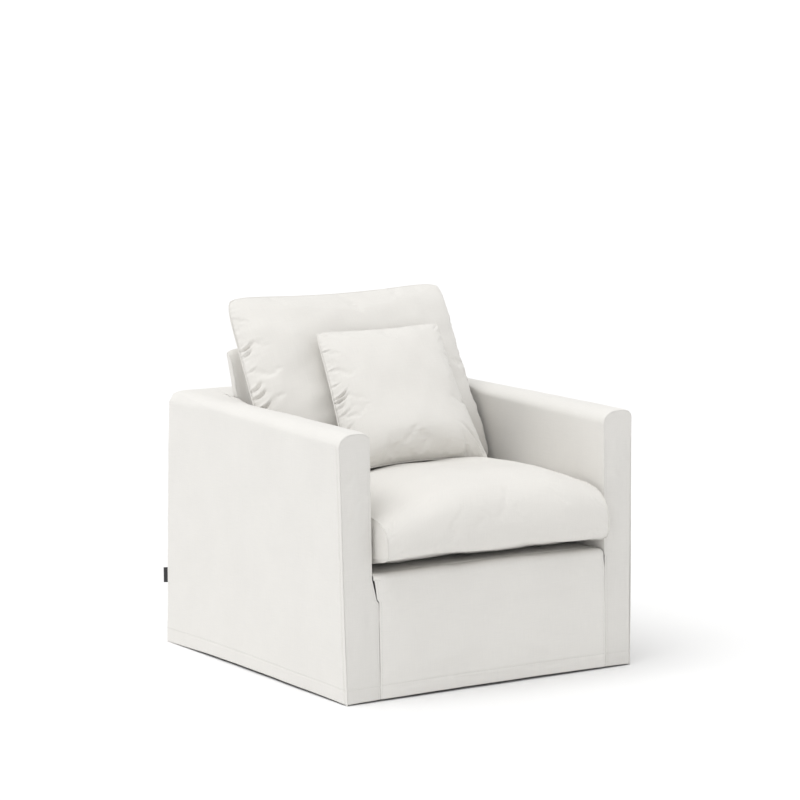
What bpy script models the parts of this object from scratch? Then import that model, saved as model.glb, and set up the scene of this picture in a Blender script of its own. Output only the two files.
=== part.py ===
"""Fitted slipcover for a tub armchair, with its seat, back and scatter cushions.

Metres, +Z up.  The cover stands on its hem at Z = 0, open below for the chair, with its
front towards -Y.  The origin is the middle of the floor rectangle that the set covers.
Left and right are as seen from the front: left is -X.
"""

import math
from collections import namedtuple

import bmesh
import bpy
import numpy as np
from mathutils import Vector

# ---- driving sizes of the cover -------------------------------------------------------
COVER_WIDTH = 0.860
COVER_DEPTH = 0.920
FRONT = -0.447
REAR = FRONT + COVER_DEPTH
ARM_TOP_FRONT = 0.662
ARM_TOP_REAR = 0.682
ARM_THICK = 0.087
CROWN_FRONT = 0.034
CROWN_REAR = 0.022
RAIL_TOP = 0.308
CLOTH = 0.002
GAP = 0.0004
SEAM_GAP = 0.0010

HALF_WIDTH = COVER_WIDTH / 2
TUB_HALF = HALF_WIDTH - ARM_THICK
SPLAY = 0.006
FRONT_LEAN = 0.005
REAR_LEAN = 0.007
HEM_LIFT = 0.006
LINER_FOOT = RAIL_TOP - 0.016

# ---- top of the back: a flat bridge of cloth from the rear edge to the raised back -----
REAR_ROUND = 0.032
REAR_DROP = 0.020
BRIDGE_SAG = 0.006
SEAM_REAR_HALF = 0.292
HOOD_REAR_AT_ARM = 0.262

# ---- the raised back's hood ------------------------------------------------------------
HOOD_LEAN = 0.33
HOOD_THICK = 0.077
HOOD_TOP = 0.802
HOOD_ROUND = 0.034
HOOD_HALF = TUB_HALF - 0.005
HOOD_DIP = 0.005
HOOD_FOOT = ARM_TOP_FRONT + (ARM_TOP_REAR - ARM_TOP_FRONT) * (HOOD_REAR_AT_ARM - FRONT) / COVER_DEPTH

# ---- apron, slits and seams -----------------------------------------------------------
APRON_ROLL = 0.014
APRON_TURN_BACK = 0.022
APRON_BULGE = 0.004
SLIT_LENGTH = 0.062
SLIT_OPEN = 0.006
SLIT_MOUTH = 0.018
STRIP_FILL = 0.004
DECK_HOLLOW = 0.006
LEFT_SEAM_HALF = 0.328
RIGHT_SEAM_HALF = 0.345

# A seam allowance turns round each upright corner: how far behind the corner's face and
# how far in from its side each row of the cloth lies.
CornerRow = namedtuple("CornerRow", "behind inset")
CORNER = (
    CornerRow(0.0000, 0.0065),
    CornerRow(0.0003, 0.0040),
    CornerRow(0.0020, 0.0014),
    CornerRow(0.0060, 0.0002),
)
TURN = CORNER[0].inset

# ---- soft unevenness of the cloth, in the piece's own across and along (0 to 1) ---------
Swell = namedtuple("Swell", "across along wide long rise")
SIDE_SWELLS = (
    Swell(0.25, 0.30, 0.30, 0.30, 0.0035),
    Swell(0.80, 0.70, 0.25, 0.35, 0.0025),
    Swell(0.55, 0.10, 0.20, 0.22, -0.0015),
    Swell(0.93, 0.45, 0.05, 0.40, 0.0030),
)
APRON_SWELLS = (
    Swell(0.30, 0.45, 0.22, 0.30, 0.0040),
    Swell(0.72, 0.35, 0.20, 0.30, 0.0030),
    Swell(0.50, 0.75, 0.35, 0.10, -0.0025),
    Swell(0.06, 0.85, 0.05, 0.10, 0.0030),
)
BACK_SWELLS = (
    Swell(0.30, 0.50, 0.25, 0.35, 0.0040),
    Swell(0.70, 0.35, 0.25, 0.30, 0.0035),
)

# ---- cushions -------------------------------------------------------------------------
Cushion = namedtuple("Cushion", "half_wide half_high centre lean front_fill rear_fill power lower")
BACK_CUSHION = Cushion(0.339, 0.258, (-0.006, 0.168, 0.709), 27.4, 0.115, 0.040, 2.6, 2.6)
SCATTER = Cushion(0.187, 0.203, (0.004, -0.017, 0.684), 33.8, 0.068, 0.026, 2.4, 7.0)
CORNER_ROUND = 0.011
EDGE_BLUNT = 0.58
SEWN_EDGE = 0.999
PANEL_LEAST = 0.002
HOOD_CLEAR = 0.003
REAR_PUFF_ABOVE_HOOD = 0.024

# Each corner of a cushion stands off the plain rectangle by this much: along +X, and up.
CornerPull = namedtuple("CornerPull", "across up aside rise")
BACK_CORNERS = (
    CornerPull(-1, 1, -0.004, 0.000),
    CornerPull(1, 1, -0.010, 0.010),
    CornerPull(-1, -1, 0.006, 0.000),
    CornerPull(1, -1, 0.002, 0.000),
)
SCATTER_CORNERS = (
    CornerPull(-1, 1, -0.001, 0.000),
    CornerPull(1, 1, 0.000, 0.003),
    CornerPull(-1, -1, -0.042, -0.002),
    CornerPull(1, -1, 0.002, 0.002),
)

# Sewn edges are drawn in between the corners, as shares of the half size.
DrawIn = namedtuple("DrawIn", "top bottom left right")
BACK_DRAW = DrawIn(0.065, 0.050, 0.004, 0.030)
SCATTER_DRAW = DrawIn(0.045, 0.070, 0.030, 0.050)

# Puckers run in from a sewn edge: place along and across the face (-1 to 1), the way they
# point in degrees from +across, length, width and depth.  The last row of the back cushion
# is the broad dent in which the scatter cushion lies.
Pucker = namedtuple("Pucker", "across along angle long wide deep")
BACK_PUCKERS = (
    Pucker(-0.86, 0.12, 25, 0.075, 0.018, 0.016),
    Pucker(-0.84, -0.22, 35, 0.080, 0.018, 0.016),
    Pucker(-0.78, -0.50, 25, 0.090, 0.018, 0.014),
    Pucker(-0.88, 0.50, -10, 0.080, 0.022, 0.007),
    Pucker(0.88, -0.15, 160, 0.070, 0.018, 0.009),
    Pucker(0.88, 0.40, 195, 0.070, 0.020, 0.007),
    Pucker(0.00, 0.20, 0, 0.180, 0.140, 0.018),
)
SCATTER_PUCKERS = (
    Pucker(-0.82, -0.08, 15, 0.055, 0.014, 0.010),
    Pucker(-0.80, -0.34, 35, 0.060, 0.014, 0.012),
    Pucker(-0.84, 0.36, 5, 0.050, 0.016, 0.006),
    Pucker(-0.60, -0.84, 75, 0.050, 0.015, 0.008),
    Pucker(0.80, -0.82, 120, 0.060, 0.015, 0.009),
)

SEAT_HALF = 0.327
SEAT_FRONT = -0.499
SEAT_REAR = 0.046
SEAT_FOOT = RAIL_TOP + 0.004
SEAT_LEFT_TOP = 0.455
SEAT_RIGHT_TOP = 0.478
SEAT_LEFT_POWER = 2.4
SEAT_RIGHT_POWER = 3.4
SEAT_CROWN_TOP = 0.526
SEAT_LEFT_LIFT = 0.0300
SEAT_RIGHT_LIFT = 0.0185
SEAT_BOX = 3.6
SEAT_WAIST = 0.36
SEAT_REAR_FALL = 0.30
SEAT_REAR_BOW = 0.012
SEAT_FRONT_BOW = 0.010

TAG_HEIGHT = 0.181
TAG_TALL = 0.042
TAG_REACH = 0.026
TAG_OUT = 0.008
TAG_THICK = 0.003
TAG_DROOP = 0.004
TAG_FOLD = 0.0009

COVER_NAME = "armchair_slipcover"


# ---- small helpers --------------------------------------------------------------------
def clear_scene():
    for thing in list(bpy.data.objects):
        bpy.data.objects.remove(thing, do_unlink=True)


def make_finish(name, colour, roughness):
    finish = bpy.data.materials.new(name)
    finish.use_nodes = True
    shader = finish.node_tree.nodes["Principled BSDF"]
    shader.inputs["Base Color"].default_value = (*colour, 1.0)
    shader.inputs["Roughness"].default_value = roughness
    shader.inputs["Metallic"].default_value = 0.0
    return finish


def add_object(name, bm, finish, collection):
    mesh = bpy.data.meshes.new(name)
    bm.to_mesh(mesh)
    bm.free()
    mesh.materials.append(finish)
    mesh.shade_smooth()
    mesh.set_sharp_from_angle(angle=math.radians(50))
    thing = bpy.data.objects.new(name, mesh)
    collection.objects.link(thing)
    return thing


def mix(low, high, share):
    return low + (high - low) * share


def smooth(low, high, value):
    share = min(max((value - low) / (high - low), 0.0), 1.0)
    return share * share * (3 - 2 * share)


def swelling(swells, across, along):
    """Sum of soft round rises over a piece of cloth."""
    return sum(
        s.rise
        * math.exp(-(((across - s.across) / s.wide) ** 2) - ((along - s.along) / s.long) ** 2)
        for s in swells
    )


def sheet(name, finish, collection, columns, rows, place, flip=False):
    """One cut of cloth: a grid laid out by place(column, row), thickened behind its face."""
    bm = bmesh.new()
    bmesh.ops.create_grid(bm, x_segments=len(columns) - 1, y_segments=len(rows) - 1, size=0.5)
    for vert in bm.verts:
        column = columns[round((vert.co.x + 0.5) * (len(columns) - 1))]
        row = rows[round((vert.co.y + 0.5) * (len(rows) - 1))]
        vert.co = place(column, row)
    if flip:
        bmesh.ops.reverse_faces(bm, faces=bm.faces)
    thing = add_object(name, bm, finish, collection)
    cloth = thing.modifiers.new("cloth", "SOLIDIFY")
    cloth.thickness = CLOTH
    cloth.offset = -1.0
    return thing


# ---- shared shape of the cover --------------------------------------------------------
def arm_top(y):
    return mix(ARM_TOP_FRONT, ARM_TOP_REAR, (y - FRONT) / COVER_DEPTH)


def crown(y):
    return mix(CROWN_FRONT, CROWN_REAR, smooth(FRONT, REAR, y))


def outer_half(y, z):
    """Half width at the outer side: the arms splay at the front, the hem flares behind."""
    depth = (y - FRONT) / COVER_DEPTH
    height = z / ARM_TOP_REAR
    return HALF_WIDTH + SPLAY * (2 * height - 1) * (1 - 2 * depth)


def front_face(z):
    return FRONT + FRONT_LEAN * (2 * z / ARM_TOP_FRONT - 1)


def rear_face(z):
    return REAR - REAR_LEAN * (2 * z / ARM_TOP_REAR - 1)


def quarter_drop(distance, reach, drop):
    """Fall of an elliptical edge, at a distance in from where it ends."""
    if distance >= reach:
        return 0.0
    share = (reach - max(distance, 0.0)) / reach
    return drop * (1 - math.sqrt(max(1 - share * share, 0.0)))


def top_height(x, y):
    """Height of the cloth over the arms and the back's bridge."""
    outer = outer_half(y, ARM_TOP_REAR) - abs(x)
    inner = abs(x) - TUB_HALF
    fall_out = quarter_drop(outer, ARM_THICK / 2, crown(y))
    fall_in = quarter_drop(inner, ARM_THICK / 2, crown(y))
    fall_in *= 1 - smooth(HOOD_REAR_AT_ARM - 0.16, HOOD_REAR_AT_ARM - 0.02, y)
    fall_rear = quarter_drop(rear_face(ARM_TOP_REAR) - y, REAR_ROUND, REAR_DROP)
    return arm_top(y) - math.hypot(fall_out, fall_rear) - fall_in


def hem_height(share):
    """The hem stands on the corners and lifts a little between them, soon after each."""
    return HEM_LIFT * max(math.sin(math.pi * share), 0.0) ** 0.3


def hood_rear(z):
    return HOOD_REAR_AT_ARM + HOOD_LEAN * (z - HOOD_FOOT)


def hood_front(z):
    return hood_rear(z) - HOOD_THICK


# ---- the arms' cloth: outer side, over the top and down inside -------------------------
LEG, OVER, LINER = 0, 1, 2
BRIDGE_ROWS = [0.0, 0.05, 0.11, 0.20, 0.40, 0.60, 0.80, 1.0]
ARM_COLUMNS = (
    [(LEG, s) for s in (0.0, 0.05, 0.18, 0.36, 0.54, 0.72, 0.88)]
    + [(OVER, s) for s in (0.0, 0.1, 0.2, 0.3, 0.4)]
    + [(OVER, (1 + s) / 2) for s in BRIDGE_ROWS]
    + [(LINER, s) for s in (0.25, 0.5, 0.75, 1.0)]
)
ARM_SPAN = [0.02, 0.08, 0.17, 0.28, 0.40, 0.52, 0.64, 0.76, 0.88, 1.0]
CORNER_ZONE, SPAN_ZONE, BRIDGE_ZONE, REAR_ZONE = range(4)
ARM_ROWS = (
    [(CORNER_ZONE, corner) for corner in CORNER]
    + [(SPAN_ZONE, s) for s in ARM_SPAN]
    + [(BRIDGE_ZONE, s) for s in (0.36, 0.72, 0.93)]
    + [(REAR_ZONE, corner) for corner in reversed(CORNER)]
)
SPAN_LEAD = 0.010
BRIDGE_LEAD = 0.012


def arm_section(side, part, share, y, inset):
    """A point of the arm's arch at depth y, drawn in towards the arm's middle by inset."""
    outer = outer_half(y, ARM_TOP_REAR)
    if part == LEG:
        rim = top_height(side * outer, y)
        z = mix(hem_height((y - FRONT) / COVER_DEPTH), rim - 0.004, share)
        swell = swelling(SIDE_SWELLS, (y - FRONT) / COVER_DEPTH, z / ARM_TOP_REAR)
        return side * (outer_half(y, z) + swell - inset), z
    if part == OVER:
        half = (outer - TUB_HALF) / 2
        x = mix(outer, TUB_HALF, (1 - math.cos(math.pi * share)) / 2)
        z = top_height(side * x, y)
        draw = (x - TUB_HALF) / half - 1
        return side * (x - inset * draw), z - inset * math.sin(math.pi * share)
    rim = top_height(side * TUB_HALF, y)
    return side * (TUB_HALF + inset), mix(rim, LINER_FOOT, share)


def span_end(part, share):
    """Depth of the arch's last plain section, just in front of where the hood meets it."""
    z = mix(HOOD_FOOT, LINER_FOOT, share) if part == LINER else HOOD_FOOT
    return hood_rear(z) - BRIDGE_LEAD


def arm_end(side, part, share, corner):
    """Where the arm's cloth ends behind: the rear corner, the bridge's seam, the hood."""
    if part == LEG:
        x, z = arm_section(side, part, share, REAR, 0.0)
        return Vector((x - side * corner.inset, rear_face(z) - corner.behind, z))
    if part == LINER:
        z = mix(top_height(side * TUB_HALF, HOOD_REAR_AT_ARM - GAP), LINER_FOOT, share)
        return Vector((side * TUB_HALF, hood_rear(z) - corner.behind, z))
    rear = rear_face(ARM_TOP_REAR)
    seam = SEAM_REAR_HALF + corner.behind
    if share <= 0.5:
        x = mix(outer_half(REAR, ARM_TOP_REAR) - corner.inset, seam, share * 2)
        y = rear - corner.behind
    else:
        x = mix(seam, TUB_HALF + corner.behind, share * 2 - 1)
        y = mix(rear, HOOD_REAR_AT_ARM, share * 2 - 1)
    return Vector((side * x, y, top_height(side * x, y)))


def arm_cloth(side):
    def place(column, row):
        part, share = column
        zone, value = row
        if zone == CORNER_ZONE:
            x, z = arm_section(side, part, share, FRONT, value.inset)
            return Vector((x, front_face(z) + value.behind, z))
        if zone == SPAN_ZONE:
            y = mix(FRONT + SPAN_LEAD, span_end(part, share), value)
            x, z = arm_section(side, part, share, y, 0.0)
            return Vector((x, mix(front_face(z) + SPAN_LEAD, y, smooth(0.0, 0.3, value)), z))
        if zone == REAR_ZONE:
            return arm_end(side, part, share, value)
        y = span_end(part, share)
        x, z = arm_section(side, part, share, y, 0.0)
        point = Vector((x, y, z)).lerp(arm_end(side, part, share, CORNER[-1]), value)
        if part == OVER:
            point.z = top_height(point.x, point.y)
        return point

    return place


# ---- arm front strips ------------------------------------------------------------------
def strip_edges(side, z):
    """Outer and inner edge of the strip at a height: it widens below its slit."""
    outer = outer_half(FRONT, z) - TURN - SEAM_GAP
    seam_half = LEFT_SEAM_HALF if side < 0 else RIGHT_SEAM_HALF
    upper = TUB_HALF + TURN + SEAM_GAP
    lower = seam_half + GAP
    return outer, mix(lower, upper, smooth(RAIL_TOP - SLIT_LENGTH, RAIL_TOP - SLIT_MOUTH, z))


STRIP_COLUMNS = [(1 - math.cos(math.pi * s)) / 2 for s in np.linspace(0, 1, 11)]
LEVEL, ARCH = 0, 1
STRIP_LEVEL = 0.58
STRIP_LEVELS = [0.0, 0.03, 0.10, 0.18, RAIL_TOP - SLIT_LENGTH, RAIL_TOP - 0.036]
STRIP_LEVELS += [RAIL_TOP - SLIT_MOUTH, RAIL_TOP, 0.38, 0.48, STRIP_LEVEL]
STRIP_ROWS = [(LEVEL, z) for z in STRIP_LEVELS] + [(ARCH, 0.5), (ARCH, 1.0)]


def strip_cloth(side):
    spring = ARM_TOP_FRONT - CROWN_FRONT
    arc = CROWN_FRONT - TURN - SEAM_GAP

    def place(across, row):
        part, value = row
        crest = spring + arc * math.sqrt(max(1 - (2 * across - 1) ** 2, 0.0))
        z = value if part == LEVEL else mix(STRIP_LEVEL, crest, value)
        outer, inner = strip_edges(side, z)
        fill = STRIP_FILL * math.sin(math.pi * across) ** 2
        fill *= smooth(0.0, 0.10, z) * (1 - smooth(STRIP_LEVEL - 0.06, STRIP_LEVEL, z))
        x = mix(outer, inner, across)
        lift = hem_height((HALF_WIDTH + SPLAY - x) / COVER_WIDTH) * (1 - smooth(0.0, 0.10, z))
        return Vector((side * x, front_face(z) - fill, z + lift))

    return place


# ---- apron over the front rail ----------------------------------------------------------
APRON_COLUMNS = [0.0, 0.02, 0.08, 0.18, 0.30, 0.42, 0.54, 0.66, 0.78, 0.88, 0.95, 0.985, 1.0]
FACE, ROLL, BACK = 0, 1, 2
APRON_ROWS = (
    [(FACE, s) for s in (0.0, 0.06, 0.20, 0.38, 0.58, 0.76, 0.86, 0.94, 1.0)]
    + [(ROLL, s) for s in (0.25, 0.5, 0.75, 1.0)]
    + [(BACK, 1.0)]
)


def apron_place(across, row):
    part, share = row
    spring = RAIL_TOP - APRON_ROLL
    bulge = APRON_BULGE * math.sin(math.pi * across)
    y = front_face(RAIL_TOP)
    if part == FACE:
        half = mix(LEFT_SEAM_HALF, RIGHT_SEAM_HALF, across)
        z = mix(hem_height(0.5 + (across - 0.5) * half / HALF_WIDTH), spring, share)
        y = front_face(z) - swelling(APRON_SWELLS, across, share)
    elif part == ROLL:
        turn = math.pi / 2 * share
        z = spring + (APRON_ROLL + bulge) * math.sin(turn)
        y += APRON_ROLL * (1 - math.cos(turn))
    else:
        z = RAIL_TOP + bulge
        y += APRON_ROLL + APRON_TURN_BACK
    lift = smooth(RAIL_TOP - SLIT_LENGTH, RAIL_TOP - SLIT_MOUTH, z)
    left = mix(LEFT_SEAM_HALF, TUB_HALF - SLIT_OPEN, lift) - GAP
    right = mix(RIGHT_SEAM_HALF, TUB_HALF - SLIT_OPEN / 2, lift) - GAP
    return Vector((mix(-left, right, across), y, z))


# ---- the deck under the seat cushion ----------------------------------------------------
DECK_COLUMNS = [0.0, 0.12, 0.3, 0.5, 0.7, 0.88, 1.0]
DECK_ROWS = [0.0, 0.2, 0.4, 0.6, 0.8, 1.0]


def deck_place(across, along):
    start = front_face(RAIL_TOP) + APRON_ROLL + APRON_TURN_BACK + GAP
    finish = hood_front(RAIL_TOP) - GAP
    half = TUB_HALF - GAP
    hollow = DECK_HOLLOW * math.sin(math.pi * across) * math.sin(math.pi * along)
    bulge = APRON_BULGE * math.sin(math.pi * across) * (1 - along)
    z = RAIL_TOP + bulge - hollow
    return Vector((mix(-half, half, across), mix(start, finish, along), z))


# ---- outside back -----------------------------------------------------------------------
BACK_COLUMNS = [0.0, 0.03, 0.10, 0.20, 0.35, 0.50, 0.65, 0.80, 0.90, 0.97, 1.0]
BACK_ROWS = [0.0, 0.06, 0.20, 0.38, 0.56, 0.74, 0.88, 1.0]


def back_place(across, along):
    half = outer_half(REAR, ARM_TOP_REAR) - TURN - SEAM_GAP
    edge = top_height(mix(half, -half, across), rear_face(ARM_TOP_REAR)) - GAP - CLOTH
    z = mix(hem_height(across), edge, along)
    half = outer_half(REAR, z) - TURN - SEAM_GAP
    swell = swelling(BACK_SWELLS, across, along)
    swell *= math.sin(math.pi * along) * math.sin(math.pi * across)
    return Vector((mix(half, -half, across), rear_face(z) + swell, z))


# ---- the bridge from the rear edge to the raised back ------------------------------------
BRIDGE_COLUMNS = [0.0, 0.12, 0.27, 0.42, 0.58, 0.73, 0.88, 1.0]


def bridge_place(across, along):
    rear = rear_face(ARM_TOP_REAR)
    y = mix(rear, HOOD_REAR_AT_ARM + GAP, along)
    half = mix(SEAM_REAR_HALF, TUB_HALF, along) - SEAM_GAP
    x = mix(half, -half, across)
    sag = BRIDGE_SAG * math.sin(math.pi * across) * math.sin(math.pi * smooth(0.1, 1.0, along))
    return Vector((x, y, top_height(x, y) - sag))


# ---- hood over the raised back ------------------------------------------------------------
HOOD_COLUMNS = [0.0, 0.06, 0.18, 0.34, 0.50, 0.66, 0.82, 0.94, 1.0]
HOOD_ROWS = (
    [(FACE, s) for s in (0.0, 0.3, 0.6, 0.85)]
    + [(ROLL, s) for s in np.linspace(0, 1, 9)]
    + [(BACK, 1.0)]
)


def hood_section(part, share, inset):
    """The hood's arch, front foot to rear foot, drawn in by inset at its ends."""
    spring = HOOD_TOP - HOOD_ROUND
    if part == FACE:
        z = mix(RAIL_TOP + GAP, spring, share)
        return hood_front(z) + inset, z
    if part == ROLL:
        turn = math.pi * share
        middle = (hood_front(spring) + hood_rear(spring)) / 2
        y = middle - (HOOD_THICK / 2 - inset) * math.cos(turn)
        z = spring + (HOOD_ROUND - inset) * math.sin(turn)
        return y + HOOD_LEAN * (z - spring), z
    z = HOOD_FOOT - CLOTH
    return hood_rear(z) - inset, z


def hood_place(across, row):
    part, share = row
    y, z = hood_section(part, share, 0.0)
    dip = HOOD_DIP * math.sin(math.pi * across) if part == ROLL else 0.0
    return Vector((mix(-HOOD_HALF, HOOD_HALF, across), y, z - dip * math.sin(math.pi * share)))


GUSSET_COLUMNS = [(1 - math.cos(math.pi * s)) / 2 for s in np.linspace(0, 1, 9)]
GUSSET_ROWS = [0.0, 0.3, 0.6, 0.8, 0.9, 1.0]


def gusset_place(side):
    spring = HOOD_TOP - HOOD_ROUND
    foot = RAIL_TOP + 0.012
    edge = CLOTH + SEAM_GAP

    def place(across, along):
        reach = HOOD_THICK / 2 - edge
        crest = spring + (HOOD_ROUND - edge) * math.sqrt(max(1 - (2 * across - 1) ** 2, 0.0))
        z = mix(foot, crest, along)
        middle = (hood_front(z) + hood_rear(z)) / 2
        return Vector((side * HOOD_HALF, middle + reach * (2 * across - 1), z))

    return place


# ---- cushions -----------------------------------------------------------------------------
def pucker_depth(puckers, cushion, across, along):
    """Depth of the creases that run in from the sewn edge, at a place on the face."""
    depth = 0.0
    for p in puckers:
        dx = (across - p.across) * cushion.half_wide
        dy = (along - p.along) * cushion.half_high
        turn = math.radians(p.angle)
        lengthwise = dx * math.cos(turn) + dy * math.sin(turn)
        sideways = dy * math.cos(turn) - dx * math.sin(turn)
        depth += p.deep * math.exp(-((lengthwise / p.long) ** 2) - (sideways / p.wide) ** 2)
    return depth


def cushion_frame(cushion):
    lean = math.radians(cushion.lean)
    up = Vector((0, math.sin(lean), math.cos(lean)))
    out = Vector((0, -math.cos(lean), math.sin(lean)))
    return Vector(cushion.centre), up, out


def fullness(cushion, across, along):
    """1 in the middle of the face, 0 along the sewn edge, with blunt sides."""
    wide = max(1 - abs(across) ** cushion.power, 0.0)
    high = max(1 - abs(along) ** (cushion.lower if along < 0 else cushion.power), 0.0)
    return (wide * high) ** EDGE_BLUNT


def outline(cushion, draw, corners, across, along):
    """Place within the sewn edge: sides drawn in between corners that are rounded and pulled."""
    side = draw.right if across > 0 else draw.left
    end = draw.top if along > 0 else draw.bottom
    x = cushion.half_wide * across * (1 - side * (1 - along * along))
    y = cushion.half_high * along * (1 - end * (1 - across * across))
    rounding = CORNER_ROUND * (across * along) ** 8
    for c in corners:
        near = (1 + c.across * across) * (1 + c.up * along) / 4
        x += c.aside * near
        y += c.rise * near
    return x - math.copysign(rounding, across), y - math.copysign(rounding, along)


def pillow(name, finish, collection, shape, steps, rear_room=None):
    """A filled knife-edge cushion: two panels sewn all round, front and rear."""
    cushion, draw, corners, puckers = shape
    centre, up, out = cushion_frame(cushion)
    bm = bmesh.new()
    for face in (1, -1):
        made = bmesh.ops.create_grid(bm, x_segments=steps[0], y_segments=steps[1], size=1.0)
        for vert in made["verts"]:
            across = math.sin(math.pi / 2 * vert.co.x)
            along = math.sin(math.pi / 2 * vert.co.y)
            full = fullness(cushion, across, along)
            if max(abs(vert.co.x), abs(vert.co.y)) > SEWN_EDGE:
                depth = 0.0
            elif face > 0:
                pucker = pucker_depth(puckers, cushion, across, along) * min(1, 4 * full)
                depth = max(cushion.front_fill * full - pucker, PANEL_LEAST)
            else:
                depth = -cushion.rear_fill * full
                if rear_room:
                    depth = max(depth, -rear_room(across, along))
            x, y = outline(cushion, draw, corners, across, along)
            vert.co = centre + Vector((x, 0, 0)) + up * y + out * depth
    bmesh.ops.remove_doubles(bm, verts=bm.verts, dist=0.00002)
    bmesh.ops.recalc_face_normals(bm, faces=bm.faces)
    return add_object(name, bm, finish, collection)


def back_cushion_room(across, along):
    """How far the back cushion's rear panel may fill before it presses on the hood."""
    centre, up, out = cushion_frame(BACK_CUSHION)
    y = outline(BACK_CUSHION, BACK_DRAW, BACK_CORNERS, across, along)[1]
    place = centre + up * y
    slope = -out.y + HOOD_LEAN * out.z
    room = (hood_front(place.z) - HOOD_CLEAR - place.y) / slope
    above = smooth(HOOD_TOP - HOOD_ROUND, HOOD_TOP + HOOD_ROUND, place.z)
    return mix(room, REAR_PUFF_ABOVE_HOOD, above)


def seat_section(across, turn):
    """The seat cushion's loop at a place across it: a soft box, crowned on top."""
    side = abs(across)
    if across > 0:
        top = mix(SEAT_CROWN_TOP, SEAT_RIGHT_TOP, side ** SEAT_RIGHT_POWER)
    else:
        top = mix(SEAT_CROWN_TOP, SEAT_LEFT_TOP, side ** SEAT_LEFT_POWER)
    rear = SEAT_REAR - SEAT_REAR_BOW * side ** 4
    front = SEAT_FRONT + SEAT_FRONT_BOW * side ** 6
    reach = math.copysign(abs(math.cos(turn)) ** (2 / SEAT_BOX), math.cos(turn))
    rise = math.copysign(abs(math.sin(turn)) ** (2 / SEAT_BOX), math.sin(turn))
    y = (front + rear) / 2 + (rear - front) / 2 * reach
    base = mix(SEAT_FOOT, top, SEAT_WAIST)
    z = base + (top - base if rise > 0 else base - SEAT_FOOT) * rise
    depth_share = (y - front) / (rear - front)
    z -= (top - base) * SEAT_REAR_FALL * smooth(0.62, 1.0, depth_share) * max(rise, 0.0)
    lift = mix(SEAT_LEFT_LIFT, SEAT_RIGHT_LIFT, (1 + across) / 2)
    z += lift * (1 - smooth(0.06, 0.36, depth_share)) * max(-rise, 0.0)
    return y, z


SEAT_STATIONS = [math.sin(math.pi / 2 * s) for s in np.linspace(-1, 1, 23)]
SEAT_RING = 38
SEAT_CAP = ((0.0061, 0.90), (0.0112, 0.60), (0.0135, 0.27))


def seat_cushion(name, finish, collection):
    """The boxed seat cushion: loops lofted from side to side, with bulged side gussets."""
    bm = bmesh.new()
    rings = []

    def ring(x, across, shrink):
        loop = [seat_section(across, 2 * math.pi * i / SEAT_RING) for i in range(SEAT_RING)]
        mid_y = sum(p[0] for p in loop) / SEAT_RING
        mid_z = sum(p[1] for p in loop) / SEAT_RING
        return [bm.verts.new((x, mix(mid_y, y, shrink), mix(mid_z, z, shrink))) for y, z in loop]

    for bulge, shrink in reversed(SEAT_CAP):
        rings.append(ring(-SEAT_HALF - bulge, -1.0, shrink))
    for across in SEAT_STATIONS:
        rings.append(ring(SEAT_HALF * across, across, 1.0))
    for bulge, shrink in SEAT_CAP:
        rings.append(ring(SEAT_HALF + bulge, 1.0, shrink))
    for low, high in zip(rings, rings[1:]):
        for i in range(SEAT_RING):
            j = (i + 1) % SEAT_RING
            bm.faces.new((low[i], low[j], high[j], high[i]))
    for end in (rings[0], rings[-1]):
        middle = bm.verts.new(sum((v.co for v in end), Vector()) / SEAT_RING)
        for i in range(SEAT_RING):
            bm.faces.new((end[i], end[(i + 1) % SEAT_RING], middle))
    bmesh.ops.recalc_face_normals(bm, faces=bm.faces)
    return add_object(name, bm, finish, collection)


# ---- side tag -------------------------------------------------------------------------------
def side_tag(name, finish, collection):
    """A bare folded loop of tape, sewn into the left rear seam and standing out behind."""
    bm = bmesh.new()
    bmesh.ops.create_cube(bm, size=1.0)
    start = rear_face(TAG_HEIGHT - TAG_TALL / 2) + GAP
    x = -(outer_half(REAR, TAG_HEIGHT) - TURN - TAG_THICK)
    for vert in bm.verts:
        side, reach, rise = vert.co
        along = reach + 0.5
        vert.co = Vector((
            x + side * TAG_THICK - TAG_OUT * along,
            start + along * TAG_REACH,
            TAG_HEIGHT + rise * TAG_TALL - TAG_DROOP * along,
        ))
    thing = add_object(name, bm, finish, collection)
    soft = thing.modifiers.new("fold", "BEVEL")
    soft.width = TAG_FOLD
    soft.segments = 2
    return thing


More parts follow.
